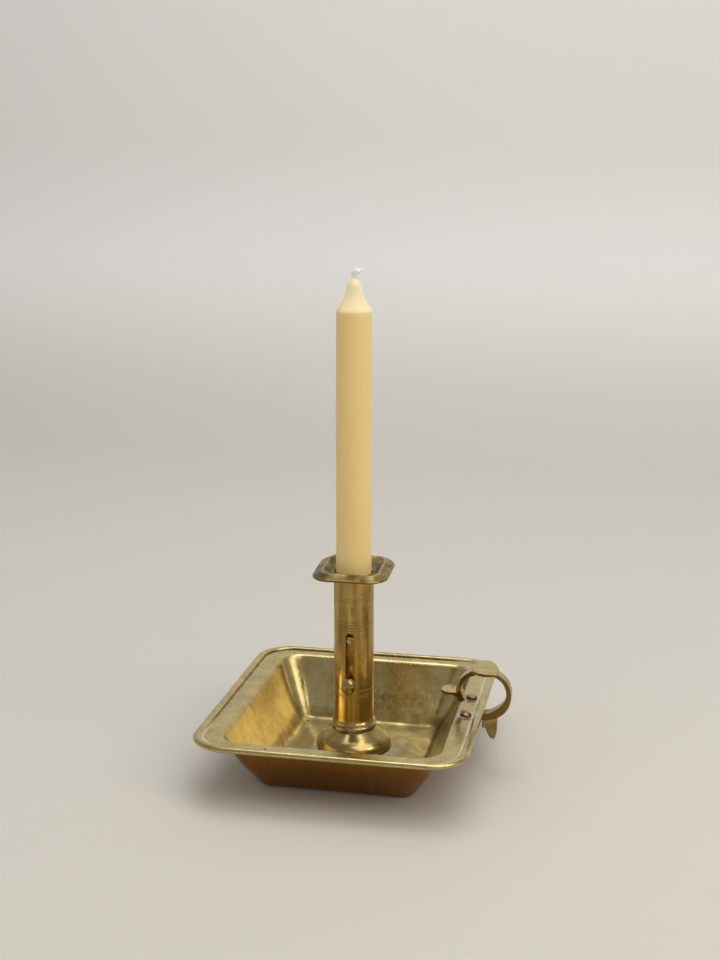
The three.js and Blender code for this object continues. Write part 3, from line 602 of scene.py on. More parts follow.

# Finishes of the pieces
# Its fourth colour, #a5742c, is painted on the tray's outer wall as the reflection of a brown table in shade
SHEET_BRASS = old_brass(
    "brass_sheet_raised", "#d1c08b", "#bda96e", "#867446", "#a5742c", 0.21, (0.35, 0.35, 0.05),
    residue_at=RIVET_RINGS, spots_at=TRAY_SPOTS)
PAN_BRASS = old_brass(
    "brass_sheet_pressed", "#c0ab72", "#a28e56", "#66552e", "#6e5426", 0.22, (0.3, 0.3, 0.3))
# Its fourth colour, #5a3d14, is painted inside the tube's bore as shade
TURNED_BRASS = old_brass(
    "brass_turned_polished", "#d0b26c", "#ba964e", "#6b4b1f", "#5a3d14", 0.15, (0.05, 0.05, 1.2),
    (1.6, 1.6, 0.12), spots_at=TUBE_SPOTS)
FOOT_BRASS = old_brass(
    "brass_turned_rubbed", "#baa46a", "#a38b54", "#665026", "#4a3516", 0.18, (0.05, 0.05, 1.2))
# Its fourth colour, #6f4c18, lies on the handle's flanks, partly as painted shade
CAST_BRASS = old_brass(
    "brass_cast_filed", "#d3be84", "#bda766", "#75602f", "#6f4c18", 0.24, (0.4, 0.4, 0.4),
    spots_at=CAST_SPOTS)
SLEEVE_BRASS = old_brass(
    "brass_sleeve_stained", "#c8923a", "#b07a28", "#7d5216", "#8a5a18", 0.26, (1.2, 1.2, 0.05),
    (1, 1, 0.3))
KNOB_BRASS = old_brass(
    "brass_knob_handled", "#bfa873", "#a88f58", "#6c572d", "#4a3516", 0.2, (0.4, 0.4, 0.4))
COPPER = hammered_copper()
WAX = candle_wax()
COTTON = bleached_cotton()
IRON = drawn_iron()


# Tray

def tray_section():
    """Middle line of the tray's sheet from the stud hole outwards, as (out, up): seat, slope, standing
    ring, wall and flange with a bend at each corner, then a tight bend down and once round a flat oval roll
    until the lip meets the flange."""
    half = SHEET / 2
    roll = np.array([TRAY_HALF[0] - ROLL_HALF[0] - ROLL_SHEET / 2, ROLL_HEIGHT])
    angle = np.radians(np.linspace(200, 522, 60))
    wrap = roll + ROLL_HALF * np.stack([np.cos(angle), np.sin(angle)], 1)
    bends = rounded_line([
        (STUD_HOLE, FLOOR_TOP - half, 0), (SEAT_RADIUS, FLOOR_TOP - half, 7),
        (BASE_HALF[0] - 6, half, 7), (BASE_HALF[0] - half, half, 5.0),
        (BOWL_HALF[0], FLANGE_TOP - half, 4.5),
        (wrap[0, 0] - 0.35, FLANGE_TOP - half, 0.5), (*wrap[0], 0),
    ])
    return resampled(np.concatenate([bends, wrap[1:]]), 2.4, 7.5)


def make_tray():
    """The dish: both faces of the sheet stand half its thickness off the middle line and are carried
    round rectangles that go from the rim's outline to the base's and on to the round seat. The flange is
    narrower at the front and back than at the sides, and the walls belly out a little half way up. Slow
    ripples stand for a century of small knocks: they push the walls in and out and the flange up and
    down."""
    middle = tray_section()
    normal = left_of(middle)
    half = (SHEET - (SHEET - ROLL_SHEET) * eased(71, 75.5, middle[:, :1])) / 2
    section = np.concatenate([middle + normal * half, (middle - normal * half)[::-1]])
    out, up = section[:, :1], section[:, 1:]

    # Half length along Y and corner radius for each distance out along X
    stops = [0, SEAT_RADIUS, BASE_HALF[0], BOWL_HALF[0], TRAY_HALF[0] - ROLL_WIDE, TRAY_HALF[0]]
    along_y = [0, SEAT_RADIUS, BASE_HALF[1], BOWL_HALF[1], TRAY_HALF[1] - ROLL_WIDE, TRAY_HALF[1]]
    corners = [0, SEAT_RADIUS, BASE_CORNER, BOWL_CORNER, RIM_CORNER - ROLL_WIDE, RIM_CORNER]
    spread = np.linspace(-6, 6, 25)
    in_bend = np.exp(-((out - BOWL_HALF[0]) / 9) ** 4)
    half_y = np.interp(out + in_bend * spread, stops, along_y).mean(1)
    corner = np.interp(out + in_bend * spread, stops, corners).mean(1)
    grid, angle = outline_loft(section, half_y, corner, 30, 24)

    # Belly and knocks, the knocks left out where the handle is fixed
    still = grid.copy()
    rivet_x = RIVET_AT["handle_rivet_front"][0]
    at_handle = np.exp(-((still[..., 0] - rivet_x) / 22) ** 2 - ((still[..., 1] - HANDLE_Y) / 26) ** 2)
    free = 1 - at_handle
    wall = eased(3, 18, up) * (1 - eased(19, 36.5, up)) * (out < 67)
    push = wall * (WALL_BELLY + WALL_KNOCK * free * ripple(still, 45, 3))
    grid[..., 0] += push * np.cos(angle)
    grid[..., 1] += push * np.sin(angle)
    level = still * [1, 1, 0]
    grid[..., 2] -= FLANGE_KNOCK * eased(64, 72, out) * free * (1 + ripple(level, 70, 4))
    edge = EDGE_KNOCK * eased(72, 80, out) * free * np.clip(1 + ripple(level, 60, 5), 0, None)
    grid[..., 0] -= edge * np.cos(angle)
    grid[..., 1] -= edge * np.sin(angle)
    floor = eased(27, 31, out) * (1 - eased(36, 40, out))
    grid[..., 2] += FLOOR_KNOCK * floor * ripple(still, 22, 6)

    # Finish: dried polish along the lip and round the foot, tarnish in the bends and on the floor, where its
    # growth towards +X is partly a painted dark reflection, and outside a brown-amber that is a painted
    # reflection of a shaded brown table
    inside = (np.arange(len(section)) < len(middle))[:, None]
    seam = TRAY_HALF[0] - 2 * ROLL_HALF[0] - ROLL_SHEET
    shown = (inside & (up < 38)) | (~inside & (up > 37.2))
    lip = np.exp(-((out - seam) / 0.32) ** 2) * shown
    seat = np.exp(-((out - SEAT_RADIUS) / 0.9) ** 2) * inside
    patchy = 0.5 + 0.5 * ripple(still, 16, 7)
    on_right = eased(45, 62, still[..., 0])
    front_left = eased(35, 70, -still[..., 1]) * (still[..., 0] < -55)
    kept_pale = np.maximum(on_right, front_left)
    haze = 0.16 * inside * eased(22, 27, out) * (1 - eased(40, 46, out))
    residue = np.maximum.reduce([
        lip * kept_pale * (0.8 + 0.3 * patchy), 0.6 * seat * patchy, haze * (0.6 + 0.8 * patchy)])
    bend = np.exp(-((out - 46.5) / 3.0) ** 2) * inside
    from_corner = (np.abs(still[..., :2]) - [44, 52]) / 6
    in_corner = np.exp(-(from_corner ** 2).sum(-1))
    # Tarnish on the floor, heavier towards +X: partly real tarnish, partly a painted dark reflection
    floor_tarnish_and_reflection = (0.7 + 0.3 * eased(5, 35, still[..., 0])) * inside * (up < 9) * (0.8 + 0.4 * patchy)
    tarnish = np.maximum.reduce([
        np.broadcast_to(0.25 * bend, patchy.shape), 0.5 * in_corner * inside, lip * (1 - kept_pale),
        floor_tarnish_and_reflection])
    # Outside below the rim: a painted reflection of a shaded brown table; along the lip: a dark seam
    bare_and_shaded = np.maximum((1 - inside) * (1 - eased(74, 77, out)), 0.4 * lip * (1 - kept_pale))
    finish = np.stack(np.broadcast_arrays(residue, tarnish, bare_and_shaded), -1).reshape(-1, 3)
    points, faces = stacked((grid.reshape(-1, 3), grid_faces(len(section), len(angle), True, True)))
    return mesh_of("tray_dish", points, faces, finish)


# Handle

def strap_shell():
    """The ring: a flat bar with broken edges carried round an axis along Y, from its blunt free end over
    the top and under the rim to the foot plate. Its outer and inner radius are given at a few angles and
    eased between them, because the casting is thick low down and at the free end and thin under the thumb
    plate."""
    line = curve_through([
        (-128, 16.6, 12.9), (-57, 17.1, 12.3), (-38, 17.3, 12.7), (-19, 17.1, 13.4), (0, 16.95, 13.9),
        (28, 16.5, 13.9), (47, 15.9, 13.6), (62, 15.7, 13.3), (90, 15.8, 13.0), (115, 16.2, 13.2),
        (130, 16.5, 13.8), (143, 16.9, 14.2), (157, 17.1, 14.4), (173, 17.3, 14.2), (187, 17.0, 13.2),
        (201, 16.2, 11.9),
    ], 10)[::-1]
    inset = np.zeros((len(line) + 2, 1))
    inset[0] = inset[-1] = 0.55
    line = np.concatenate([line[:1] + [[2.0, 0, 0]], line, line[-1:]])
    turn = np.radians(line[:, :1])
    angle, sign_out, sign_side = once_round(4, 6)
    thick = (line[:, 1:2] - line[:, 2:]) / 2 - inset
    wide = STRAP_WIDE / 2 * (1 + 0.06 * np.exp(-((np.degrees(turn) - 85) / 45) ** 2)) - inset
    middle = (line[:, 1:2] + line[:, 2:]) / 2
    radius = middle + sign_out * (thick - STRAP_EDGE) + STRAP_EDGE * np.cos(angle)
    side = sign_side * (wide - STRAP_EDGE) + STRAP_EDGE * np.sin(angle)
    x = RING_X + radius * np.cos(turn)
    z = RING_Z + radius * np.sin(turn)
    grid = np.stack([x, HANDLE_Y + side, z], -1)
    ends = [np.repeat(grid[i:i + 1].mean(1, keepdims=True), len(angle), 1) for i in (0, -1)]
    grid = np.concatenate([ends[0], grid, ends[1]])
    return grid.reshape(-1, 3), grid_faces(len(grid), len(angle), wrap_columns=True)


def slab(outline, low, high, edge, upright=False):
    """A flat plate with a given outline and filed edges: the outline stands at two heights, is set in
    along its own normals where each face begins, and each face closes on the outline's middle. Upright
    plates stand along Y instead of Z."""
    outline = np.array(outline, float)
    ahead = np.roll(outline, -1, 0) - outline
    ahead /= np.linalg.norm(ahead, axis=1, keepdims=True)
    x, y = outline.T
    turning = np.sign(np.sum(x * np.roll(y, -1) - np.roll(x, -1) * y))
    inward = turning * np.stack([-ahead[:, 1], ahead[:, 0]], 1)
    both = inward + np.roll(inward, 1, 0)
    face = outline + edge * 2 * both / np.sum(both * both, 1, keepdims=True)
    middle = np.repeat(outline.mean(0, keepdims=True), len(outline), 0)
    rings = [
        (middle, low), (face, low), (outline, low + edge),
        (outline, high - edge), (face, high), (middle, high),
    ]
    grid = np.stack([np.column_stack([ring, np.full(len(ring), level)]) for ring, level in rings])
    if upright:
        grid = grid[..., [0, 2, 1]]
    return grid.reshape(-1, 3), grid_faces(len(rings), len(outline), wrap_columns=True)


def make_handle():
    """One casting: ring, thumb plate, lug, bracket, spur and foot plate, each a closed shell set into
    the next one, with filed edges."""
    thumb = [
        (74.5, -6.3), (73.4, 3.7), (74.7, 12.5), (79.3, 14.7), (84.1, 14.5), (87.8, 8.9), (90.1, 1.7),
        (90.3, -9.9), (83.2, -11.4), (78.6, -9.7),
    ]
    round_end = np.radians(np.linspace(95, 265, 28))
    lug_tip = np.column_stack([60.4 + 6.0 * np.cos(round_end), 4.4 + 6.9 * np.sin(round_end)])
    lug = np.concatenate([[(66.4, HANDLE_Y - 3.6), (66.4, HANDLE_Y + 3.6)], lug_tip])
    bracket = [
        (59.6, RING_Z - 0.8), (62.6, RING_Z - 2.4), (65.4, RING_Z - 4.0), (67.0, RING_Z - 6.4),
        (68.6, RING_Z - 5.6), (68.4, RING_Z - 0.4),
    ]
    spur = [
        (80.9, 33.0), (80.5, 28.4), (80.4, 25.5), (82.7, 25.1), (83.4, 23.0), (84.4, 21.0), (86.0, 18.8),
        (88.2, 18.3), (89.2, 20.6), (89.7, 24.6), (89.9, 29.0), (90.1, 33.4),
    ]
    angle, sign_x, sign_y = once_round(10, 6)
    foot_x = 73.0 + sign_x * 0.1 + 4.0 * np.cos(angle)
    foot_y = HANDLE_Y + sign_y * 14.7 + 4.3 * np.sin(angle)
    points, faces = stacked(
        strap_shell(),
        slab(thumb, THUMB_TOP - THUMB_THICK, THUMB_TOP, 0.3),
        slab(lug, RING_Z - 1.1, RING_Z + 0.8, 0.35),
        slab(bracket, HANDLE_Y - 3.4, HANDLE_Y + 3.4, 0.4, upright=True),
        slab(spur, HANDLE_Y - 2.2, HANDLE_Y + 2.2, 0.5, upright=True),
        slab(np.column_stack([foot_x, foot_y]), *FOOT_PLATE_LEVELS, 0.3))

    # Finish: tarnish in the hollow of the ring, darker towards the bottom, and brown flanks that are partly
    # metal never rubbed bright and partly painted shade, with worn edges
    reach = np.hypot(points[:, 0] - RING_X, points[:, 2] - RING_Z)
    on_lug = points[:, 0] < LUG_ROOT
    on_top = (points[:, 2] > THUMB_TOP - 0.05) | (on_lug & (points[:, 2] > RING_Z + 0.75))
    within = 1 - eased(13.8, 15.0, reach)
    low_down = 1 - eased(24, 40, points[:, 2])
    across = np.abs(points[:, 1] - HANDLE_Y)
    # The flanks take the brown colour, partly as painted shade on the sides
    flank = eased(3.62, 3.9, across) + on_lug + (points[:, 2] > THUMB_TOP - 1.65)
    tarnish = np.maximum(0.3 * within, 0.6 * low_down) * ~on_top
    bare_and_shaded = np.clip(flank, 0, 1) * ~on_top
    finish = np.stack([0 * reach, tarnish, np.maximum(0.85 * bare_and_shaded, 0.3 * low_down)], -1)
    return mesh_of("handle_casting", points, faces, finish)


def make_rivet(name):
    """A rivet: shank, a small burr below, and a domed head whose skin is pressed in by a few hammer
    blows (each blow a shallow round dip where the dome comes near its centre)."""
    low, high = RIVETS[name]
    head = (high[0] - low[0]) / 2
    base = FLANGE_TOP - 0.1
    rise = np.radians(np.linspace(0, 90, 24))
    dome = np.stack([head * np.cos(rise) ** 0.75, base + RIVET_RISE * np.sin(rise)], 1)
    burr = np.stack([2.6 * np.sin(rise[::2]), BURR_TOP - (BURR_TOP - low[2]) * np.cos(rise[::2])], 1)
    shank = [(RIVET_SHANK, BURR_TOP), (RIVET_SHANK, base), (head - 0.25, base)]
    grid = lathe(np.concatenate([burr, shank, dome]), 56)
    random = np.random.default_rng(21 + list(RIVETS).index(name))
    turn = random.uniform(0, 2 * math.pi, 8)
    lean = random.uniform(0.1, 0.85, 8)
    blows = np.stack([head * lean * np.cos(turn), head * lean * np.sin(turn)], 1)
    gap = np.linalg.norm(grid[..., None, :2] - blows, axis=-1)
    dip = np.exp(-(gap / 0.85) ** 2).max(-1) * (grid[..., 2] > base + 0.2)
    grid[..., 2] -= BLOW_DEPTH * dip
    out = np.linalg.norm(grid[..., :2], axis=-1)
    tarnish = 0.8 * eased(2.2, 3.6, out) + (grid[..., 2] < base) * 0.6
    finish = np.stack([0 * out, tarnish, 0 * out], -1).reshape(-1, 3)
    points, faces = stacked((grid.reshape(-1, 3), grid_faces(len(grid), 56, wrap_columns=True)))
    return mesh_of(name + "_head", points + RIVET_AT[name] * [1, 1, 0], faces, finish)


# Column

def make_foot():
    """The foot, turned about Z: threaded stud, flat underside, a swelling lower edge, a bell that closes
    in to a groove, one bead, and the spigot inside the tube."""
    base = FLOOR_TOP + 0.05
    stud_up = np.linspace(FOOT_LOW[2], FLOOR_TOP - 2.2, 40)
    stud = np.stack([4 - 0.35 * np.abs((stud_up - FOOT_LOW[2]) / 1.25 % 1 - 0.5) * 2, stud_up], 1)
    bell = curve_through(np.array([
        (22.5, 0), (23.15, 0.5), (23.4, 1.3), (23.3, 2.7), (22.9, 4.3), (22.0, 6.0), (20.5, 7.6),
        (18.4, 9.1), (16.2, 10.5), (14.6, 11.6), (13.5, 12.35),
    ]) + [0, base], 7)
    bead_angle = np.radians(np.linspace(-84, 84, 18))
    bead = np.stack([13.2 + 0.95 * np.cos(bead_angle), 22.45 + 1.65 * np.sin(bead_angle)], 1)
    profile = np.concatenate([
        [(0, FOOT_LOW[2]), (3.2, FOOT_LOW[2])], stud, [(4.0, base), (22.1, base)], bell, bead,
        [(13.0, 24.45), (13.0, TUBE_LOW[2] - 0.05), (SPIGOT, TUBE_LOW[2] - 0.05), (SPIGOT, FOOT_HIGH[2]),
         (0, FOOT_HIGH[2])],
    ])
    points, faces = stacked(lathe_shell(profile, 128))

    # Finish: dried polish and tarnish in the grooves, tarnish at the lower edge
    out = np.hypot(points[:, 0], points[:, 1])
    up = points[:, 2]
    groove = np.exp(-((up - 20.7) / 0.35) ** 2) + np.exp(-((up - 24.6) / 0.4) ** 2)
    patchy = 0.5 + 0.5 * ripple(points, 9, 31)
    edge = np.exp(-((up - base) / 0.8) ** 2) * (out > 20)
    finish = np.stack([0.75 * groove * patchy, np.maximum(groove, 0.6 * edge), 0 * up], -1)
    return mesh_of("column_foot_turned", points, faces, finish)


def slotted_tube(heights, outer, inner, half_width, facing):
    """A tube with a slot: at each height a ring runs from one edge of the slot round to the other, and
    where the slot is closed the two ends meet. Outer and inner give the radii at each height, half_width
    the half width of the slot there, and facing the direction of the slot in degrees."""
    share = np.linspace(0, 1, 145)
    skins = []
    for radius in (outer, inner):
        edge = np.arcsin(np.clip(half_width / radius, 0, 1))[:, None]
        angle = math.radians(facing) + edge + share * (2 * math.pi - 2 * edge)
        ring = radius[:, None] * np.stack([np.cos(angle), np.sin(angle)])
        skins.append(np.stack([*ring, np.broadcast_to(heights[:, None], angle.shape)], -1))
    rows, columns = skins[0].shape[:2]
    points = np.concatenate([skins[0].reshape(-1, 3), skins[1].reshape(-1, 3)])
    count = rows * columns
    skin = grid_faces(rows, columns)
    bottom = np.arange(columns)
    top = bottom + (rows - 1) * columns
    ends = [
        np.stack([run[:-1], run[1:], run[1:] + count, run[:-1] + count], 1)[:, ::turn]
        for run, turn in ((bottom, -1), (top, 1))
    ]
    open_rows = np.flatnonzero((half_width[:-1] > 0) | (half_width[1:] > 0)) * columns
    sides = [
        np.stack([run, run + columns, run + columns + count, run + count], 1)[:, ::turn]
        for run, turn in ((open_rows, 1), (open_rows + columns - 1, -1))
    ]
    return points, np.concatenate([skin, skin[:, ::-1] + count, *ends, *sides])


def make_tube():
    """The tube: outside it flares to a rounded lip at the foot and carries incised rings, each a shallow
    round groove, and its slot has straight sides and half-round ends."""
    rings = np.array(RINGS)
    swing = np.sin(np.radians(np.linspace(0, 90, 14)))
    heights = np.unique(np.concatenate([
        np.linspace(TUBE_LOW[2], TUBE_HIGH[2], 34),
        np.linspace(TUBE_LOW[2], TUBE_LOW[2] + FLARE_HIGH, 26),
        (rings[:, None] + np.linspace(-2, 2, 13) * RING_HALF).ravel(),
        SLOT_HIGH - SLOT_HALF + SLOT_HALF * swing, SLOT_LOW + SLOT_HALF - SLOT_HALF * swing,
    ]).round(4))
    heights = heights[np.concatenate([[True], np.diff(heights) > 0.02])]
    above = heights - TUBE_LOW[2]
    spread = FLARE * (1 - np.clip(above / FLARE_HIGH, 0, 1)) ** 2.2
    lip = 0.55 * (1 - np.clip(above / 1.2, 0, 1)) ** 2
    flare = spread - lip
    cuts = RING_DEPTH * np.exp(-((heights[:, None] - rings) / RING_HALF) ** 2).sum(1)
    outer = TUBE_RADIUS + flare - cuts
    past_end = np.maximum(heights - (SLOT_HIGH - SLOT_HALF), (SLOT_LOW + SLOT_HALF) - heights)
    half_width = np.sqrt(np.clip(SLOT_HALF ** 2 - np.clip(past_end, 0, None) ** 2, 0, None))
    points, faces = stacked(slotted_tube(heights, outer, np.full(len(heights), BORE), half_width, -90))

    # Finish: brown towards the top, in the rings and round the slot, dried polish at the foot, and inside
    # the bore a dark brown that is painted shade
    up = points[:, 2]
    out = np.hypot(points[:, 0], points[:, 1])
    scored = np.exp(-((up[:, None] - rings) / (RING_HALF * 1.2)) ** 2).max(1)
    round_slot = np.hypot(points[:, 0], np.clip(np.abs(up - (SLOT_LOW + SLOT_HIGH) / 2) - 15, 0, None))
    at_slot = np.exp(-((round_slot - SLOT_HALF) / 0.7) ** 2) * (points[:, 1] < 0)
    low = np.exp(-((up - TUBE_LOW[2]) / 0.5) ** 2)
    # Painted shade: the bore gets heavy tarnish and the darkest colour to stand for the dark inside the tube
    inside = 1 - eased(BORE + 0.1, BORE + 0.6, out)
    patchy = 0.5 + 0.5 * ripple(points, 10, 32)
    browned = (0.45 + 0.2 * patchy) * eased(50, 84, up)
    tarnish = np.maximum.reduce([browned, 0.75 * scored, 0.75 * at_slot, 0.9 * inside, 0.4 * low])
    caught = low * np.maximum(0.6 * patchy, eased(-2, 7, points[:, 0]))
    finish = np.stack([0.2 * scored * patchy + 0.9 * caught, tarnish, inside], -1)
    return mesh_of("column_tube_turned", points, faces, finish)


def make_sleeve():
    """The ejector's sleeve: a plain tube with a slit all the way down its back."""
    heights = np.linspace(SLEEVE_LOW[2], SLEEVE_HIGH[2], 40)
    shape = np.ones(len(heights))
    points, faces = stacked(slotted_tube(
        heights, SLEEVE_OUTER * shape, SLEEVE_INNER * shape, SLIT_HALF * shape, 90))

    # Finish: stained all over, with a few specks of dried polish
    stained = 0.4 + 0.35 * ripple(points, 8, 33)
    residue = 0.75 * eased(0.35, 0.7, ripple(points, 4, 34))
    finish = np.stack([residue, stained, np.full(len(points), 0.45)], -1)
    return mesh_of("ejector_sleeve_drawn", points, faces, finish)


def make_knob():
    """The knob, turned about -Y and then stretched a little upright: a neck through the slot, a small
    collar and a ball."""
    centre = -KNOB_LOW[1] - KNOB_BALL
    rise = np.radians(np.linspace(-56, 90, 34))
    profile = np.concatenate([
        [(0, -KNOB_HIGH[1]), (KNOB_NECK, -KNOB_HIGH[1]), (KNOB_NECK, KNOB_SEAT), (KNOB_COLLAR, KNOB_SEAT),
         (KNOB_COLLAR, centre - 0.846 * KNOB_BALL)],
        np.stack([KNOB_BALL * np.cos(rise), centre + KNOB_BALL * np.sin(rise)], 1),
    ])
    grid = lathe(profile, 64)[..., [0, 2, 1]] * [1, -1, 1]
    from_axis = np.linalg.norm(grid[..., ::2], axis=-1).max(1, keepdims=True)
    grid[..., 2] *= 1 + KNOB_STRETCH * eased(2.2, 3.6, from_axis)
    points = grid.reshape(-1, 3) + [0, 0, (KNOB_LOW[2] + KNOB_HIGH[2]) / 2 + KNOB_RAISED]
    points, faces = stacked((points, grid_faces(len(profile), 64, wrap_columns=True)))

    # Finish: tarnish behind the ball, where no finger reaches
    behind = eased(-14.6, -13.2, points[:, 1])
    finish = np.stack([0 * behind, 0.8 * behind, 0 * behind], -1)
    return mesh_of("ejector_knob_turned", points, faces, finish)


def make_pan():
    """The drip pan: a sheet with a round dished well at the tube, a crisp ridge in a rounded square, and a
    border that falls away to a rounded edge. It has been knocked, so that it leans down towards the front
    and its sides droop a little."""
    top = PAN_HIGH[2] + PAN_RAISED
    half = PAN_SHEET / 2
    middle = resampled(rounded_line([
        (TUBE_RADIUS + 0.15, top - 3.9 - half, 0), (13.4, top - 3.7 - half, 1.2),
        (PAN_RIDGE, top + 0.1 - half, 0.7), (PAN_EDGE[0] - half, top - 2.2 - half, 0),
    ]), 0.5, 5)
    normal = left_of(middle)
    round_edge = np.radians(np.linspace(80, -80, 9))
    heading = math.atan2(-normal[-1, 0], normal[-1, 1])
    edge = middle[-1] + half * np.stack([np.cos(round_edge + heading), np.sin(round_edge + heading)], 1)
    section = np.concatenate([middle + normal * half, edge, (middle - normal * half)[::-1]])
    stops = [0, PAN_WELL, PAN_RIDGE, PAN_EDGE[0]]
    half_y = np.interp(section[:, 0], stops, [0, PAN_WELL, PAN_RIDGE - 0.3, PAN_EDGE[1]])
    corner = np.interp(section[:, 0], stops, [0, PAN_WELL, 6.0, 13.3])
    grid, angle = outline_loft(section, half_y, corner, 30, 14)
    out = section[:, :1]
    grid[..., 2] += PAN_LEAN * grid[..., 1] - PAN_DROOP * (grid[..., 0] / PAN_EDGE[0]) ** 2
    grid[..., 2] -= PAN_KNOCK * eased(17, 22, out) * ripple(grid, 26, 41)

    # Finish: a rubbed ridge and edge, tarnish everywhere else, dried polish round the tube
    upper = (np.arange(len(section)) < len(middle))[:, None]
    dish = (1 - eased(13.5, 17, out)) * upper
    patchy = 0.5 + 0.5 * ripple(grid, 9, 42)
    residue = 0.4 * np.exp(-((out - 13.2) / 0.8) ** 2) * upper * patchy
    worn_edge = np.exp(-((out - PAN_EDGE[0]) / 0.35) ** 2)
    worn_ridge = np.exp(-((out - PAN_RIDGE - 0.25) / 0.5) ** 2) * upper
    rubbed = np.maximum(worn_ridge, worn_edge)
    tarnish = np.clip(0.65 + 0.1 * dish + 0.3 * patchy - 1.1 * rubbed, 0, 1)
    finish = np.stack(np.broadcast_arrays(residue, tarnish, 0.7 * (1 - upper)), -1).reshape(-1, 3)
    points, faces = stacked((grid.reshape(-1, 3), grid_faces(len(section), len(angle), True, True)))
    return mesh_of("drip_pan_pressed", points, faces, finish)


# Candle

def make_candle():
    """The candle, turned about Z and then made a little uneven: a foot drawn in to fit the tube, a long
    taper, a thin lip at the shoulder, a neck that hollows in and is pulled into a few soft flutes, and a
    cap."""
    foot = CANDLE_LOW[2]
    top = CANDLE_HIGH[2]
    shoulder = top - CANDLE_NECK
    drawn_in = np.array([(7.2, 0.6), (8.6, 3.0), (9.9, 6.0), (10.8, 9.0)]) + [0, foot]
    body_up = np.linspace(foot + 11, shoulder - 0.9, 90)
    body_radius = np.interp(body_up, [foot, shoulder], [CANDLE_RADIUS, CANDLE_TOP_RADIUS])
    body = np.stack([body_radius, body_up], 1)
    neck = curve_through(np.array([
        (10.45, 0.1), (10.1, 0.9), (8.4, 3.3), (6.95, 5.8), (5.75, 8.3), (5.0, 10.7), (4.55, 13.1),
        (4.1, 15.5), (3.3, 17.2), (2.3, 18.4), (1.2, 18.95), (0, 19.0),
    ]) * [1, CANDLE_NECK / 19] + [0, shoulder], 8)
    neck[:, 0] = np.clip(neck[:, 0], 0, None)
    profile = np.concatenate([
        [(0, foot), (6.6, foot)], drawn_in, body,
        [(CANDLE_TOP_RADIUS, shoulder - 0.4), (CANDLE_TOP_RADIUS - 0.08, shoulder - 0.1)], neck,
    ])
    grid = lathe(profile, 128)
    angle = np.arctan2(grid[..., 1], grid[..., 0])
    up = grid[..., 2]
    on_neck = eased(shoulder, shoulder + 3, up) * (1 - eased(top - 5, top - 1.5, up))
    flutes = FLUTE_DEPTH * on_neck * (np.sin(5 * angle + 0.7) + 0.6 * np.sin(9 * angle + 2.1 + 0.05 * up))
    wavy = 0.05 * ripple(grid, 40, 51) * (1 - on_neck)
    radius = np.linalg.norm(grid[..., :2], axis=-1)
    grow = 1 + np.where(radius > 0.5, (flutes + wavy) / np.maximum(radius, 0.5), 0) * (up > foot + 0.3)
    grid[..., :2] *= grow[..., None]
    points, faces = stacked((grid.reshape(-1, 3), grid_faces(len(profile), 128, wrap_columns=True)))
    return mesh_of("candle_drawn", points, faces)


def tubes(paths, radii, sides):
    """Round threads along many paths at once: at each point a ring square to the path's direction, in a
    plane set by a fixed side vector. Each path closes to a point at both ends."""
    along = np.gradient(paths, axis=1)
    along /= np.linalg.norm(along, axis=2, keepdims=True)
    side = np.cross(along, np.array([0.31, 0.86, 0.41]))
    side /= np.linalg.norm(side, axis=2, keepdims=True)
    other = np.cross(along, side)
    angle = np.linspace(0, 2 * math.pi, sides, endpoint=False)
    ring = side[:, :, None] * np.cos(angle)[:, None] + other[:, :, None] * np.sin(angle)[:, None]
    grid = paths[:, :, None] + ring * radii[:, :, None, None]
    faces = grid_faces(paths.shape[1], sides, wrap_columns=True)
    return [(threads.reshape(-1, 3), faces) for threads in grid]


def wick_line(share):
    """The wick's middle line above the cap: straight up, then bending over towards +X."""
    height = WICK_HIGH[2] - 1.4 - CANDLE_HIGH[2]
    lean = 2.3 * np.clip(share, 0, None) ** 1.7
    return np.stack([lean, 0.25 * np.sin(3 * share), CANDLE_HIGH[2] + height * share], -1)


def make_wick():
    """The wick: three strands plaited flat (each swings from side to side and passes over and under, a
    third of a turn apart), swelling and parting at the cut end, where fine fibres leave the last stretch of
    the plait and curl away in random directions."""
    random = np.random.default_rng(61)
    share = np.linspace(-0.35, 1.0, 64)
    strands = []
    for third in range(3):
        phase = 2 * math.pi * (share * 1.7 + third / 3)
        loose = 1 + 0.9 * eased(0.35, 0.9, share)
        swing = np.stack([0.9 * np.sin(phase) * loose, 0.5 * np.sin(2 * phase) * loose, 0 * phase], -1)
        strands.append(wick_line(share) + swing)
    thick = 0.85 + 0.3 * eased(0.3, 0.7, share) - 0.35 * eased(0.85, 1.0, share)
    thick[[0, -1]] = 1e-4
    plait = tubes(np.array(strands), np.repeat(thick[None], 3, 0), 14)

    count = WICK_FIBRES
    start = random.uniform(0.35, 1.0, count)
    run = np.linspace(0, 1, 9)
    heading = random.normal(size=(count, 3)) * [1.0, 0.9, 0.6] + [0.3, 0, 0.3]
    heading /= np.linalg.norm(heading, axis=1, keepdims=True)
    curl = random.normal(size=(count, 3)) * 0.5
    length = random.uniform(0.8, 2.2, count)[:, None, None]
    offset = random.normal(size=(count, 3)) * [1.0, 0.7, 0.3]
    paths = (wick_line(start) + offset)[:, None] + length * (
        heading[:, None] * run[:, None] + curl[:, None] * (run ** 2)[:, None])
    lowest = CANDLE_HIGH[2] + 0.3
    highest = WICK_HIGH[2] - 0.3 - 0.03 * np.arange(len(run))
    paths[..., 2] = np.clip(paths[..., 2], lowest, highest)
    radii = random.uniform(0.16, 0.3, count)[:, None] * (1 - 0.5 * run)
    radii[:, [0, -1]] = 1e-4
    points, faces = stacked(*plait, *tubes(paths, radii, 6))
    return mesh_of("wick_plaited", points, faces)


# Pieces

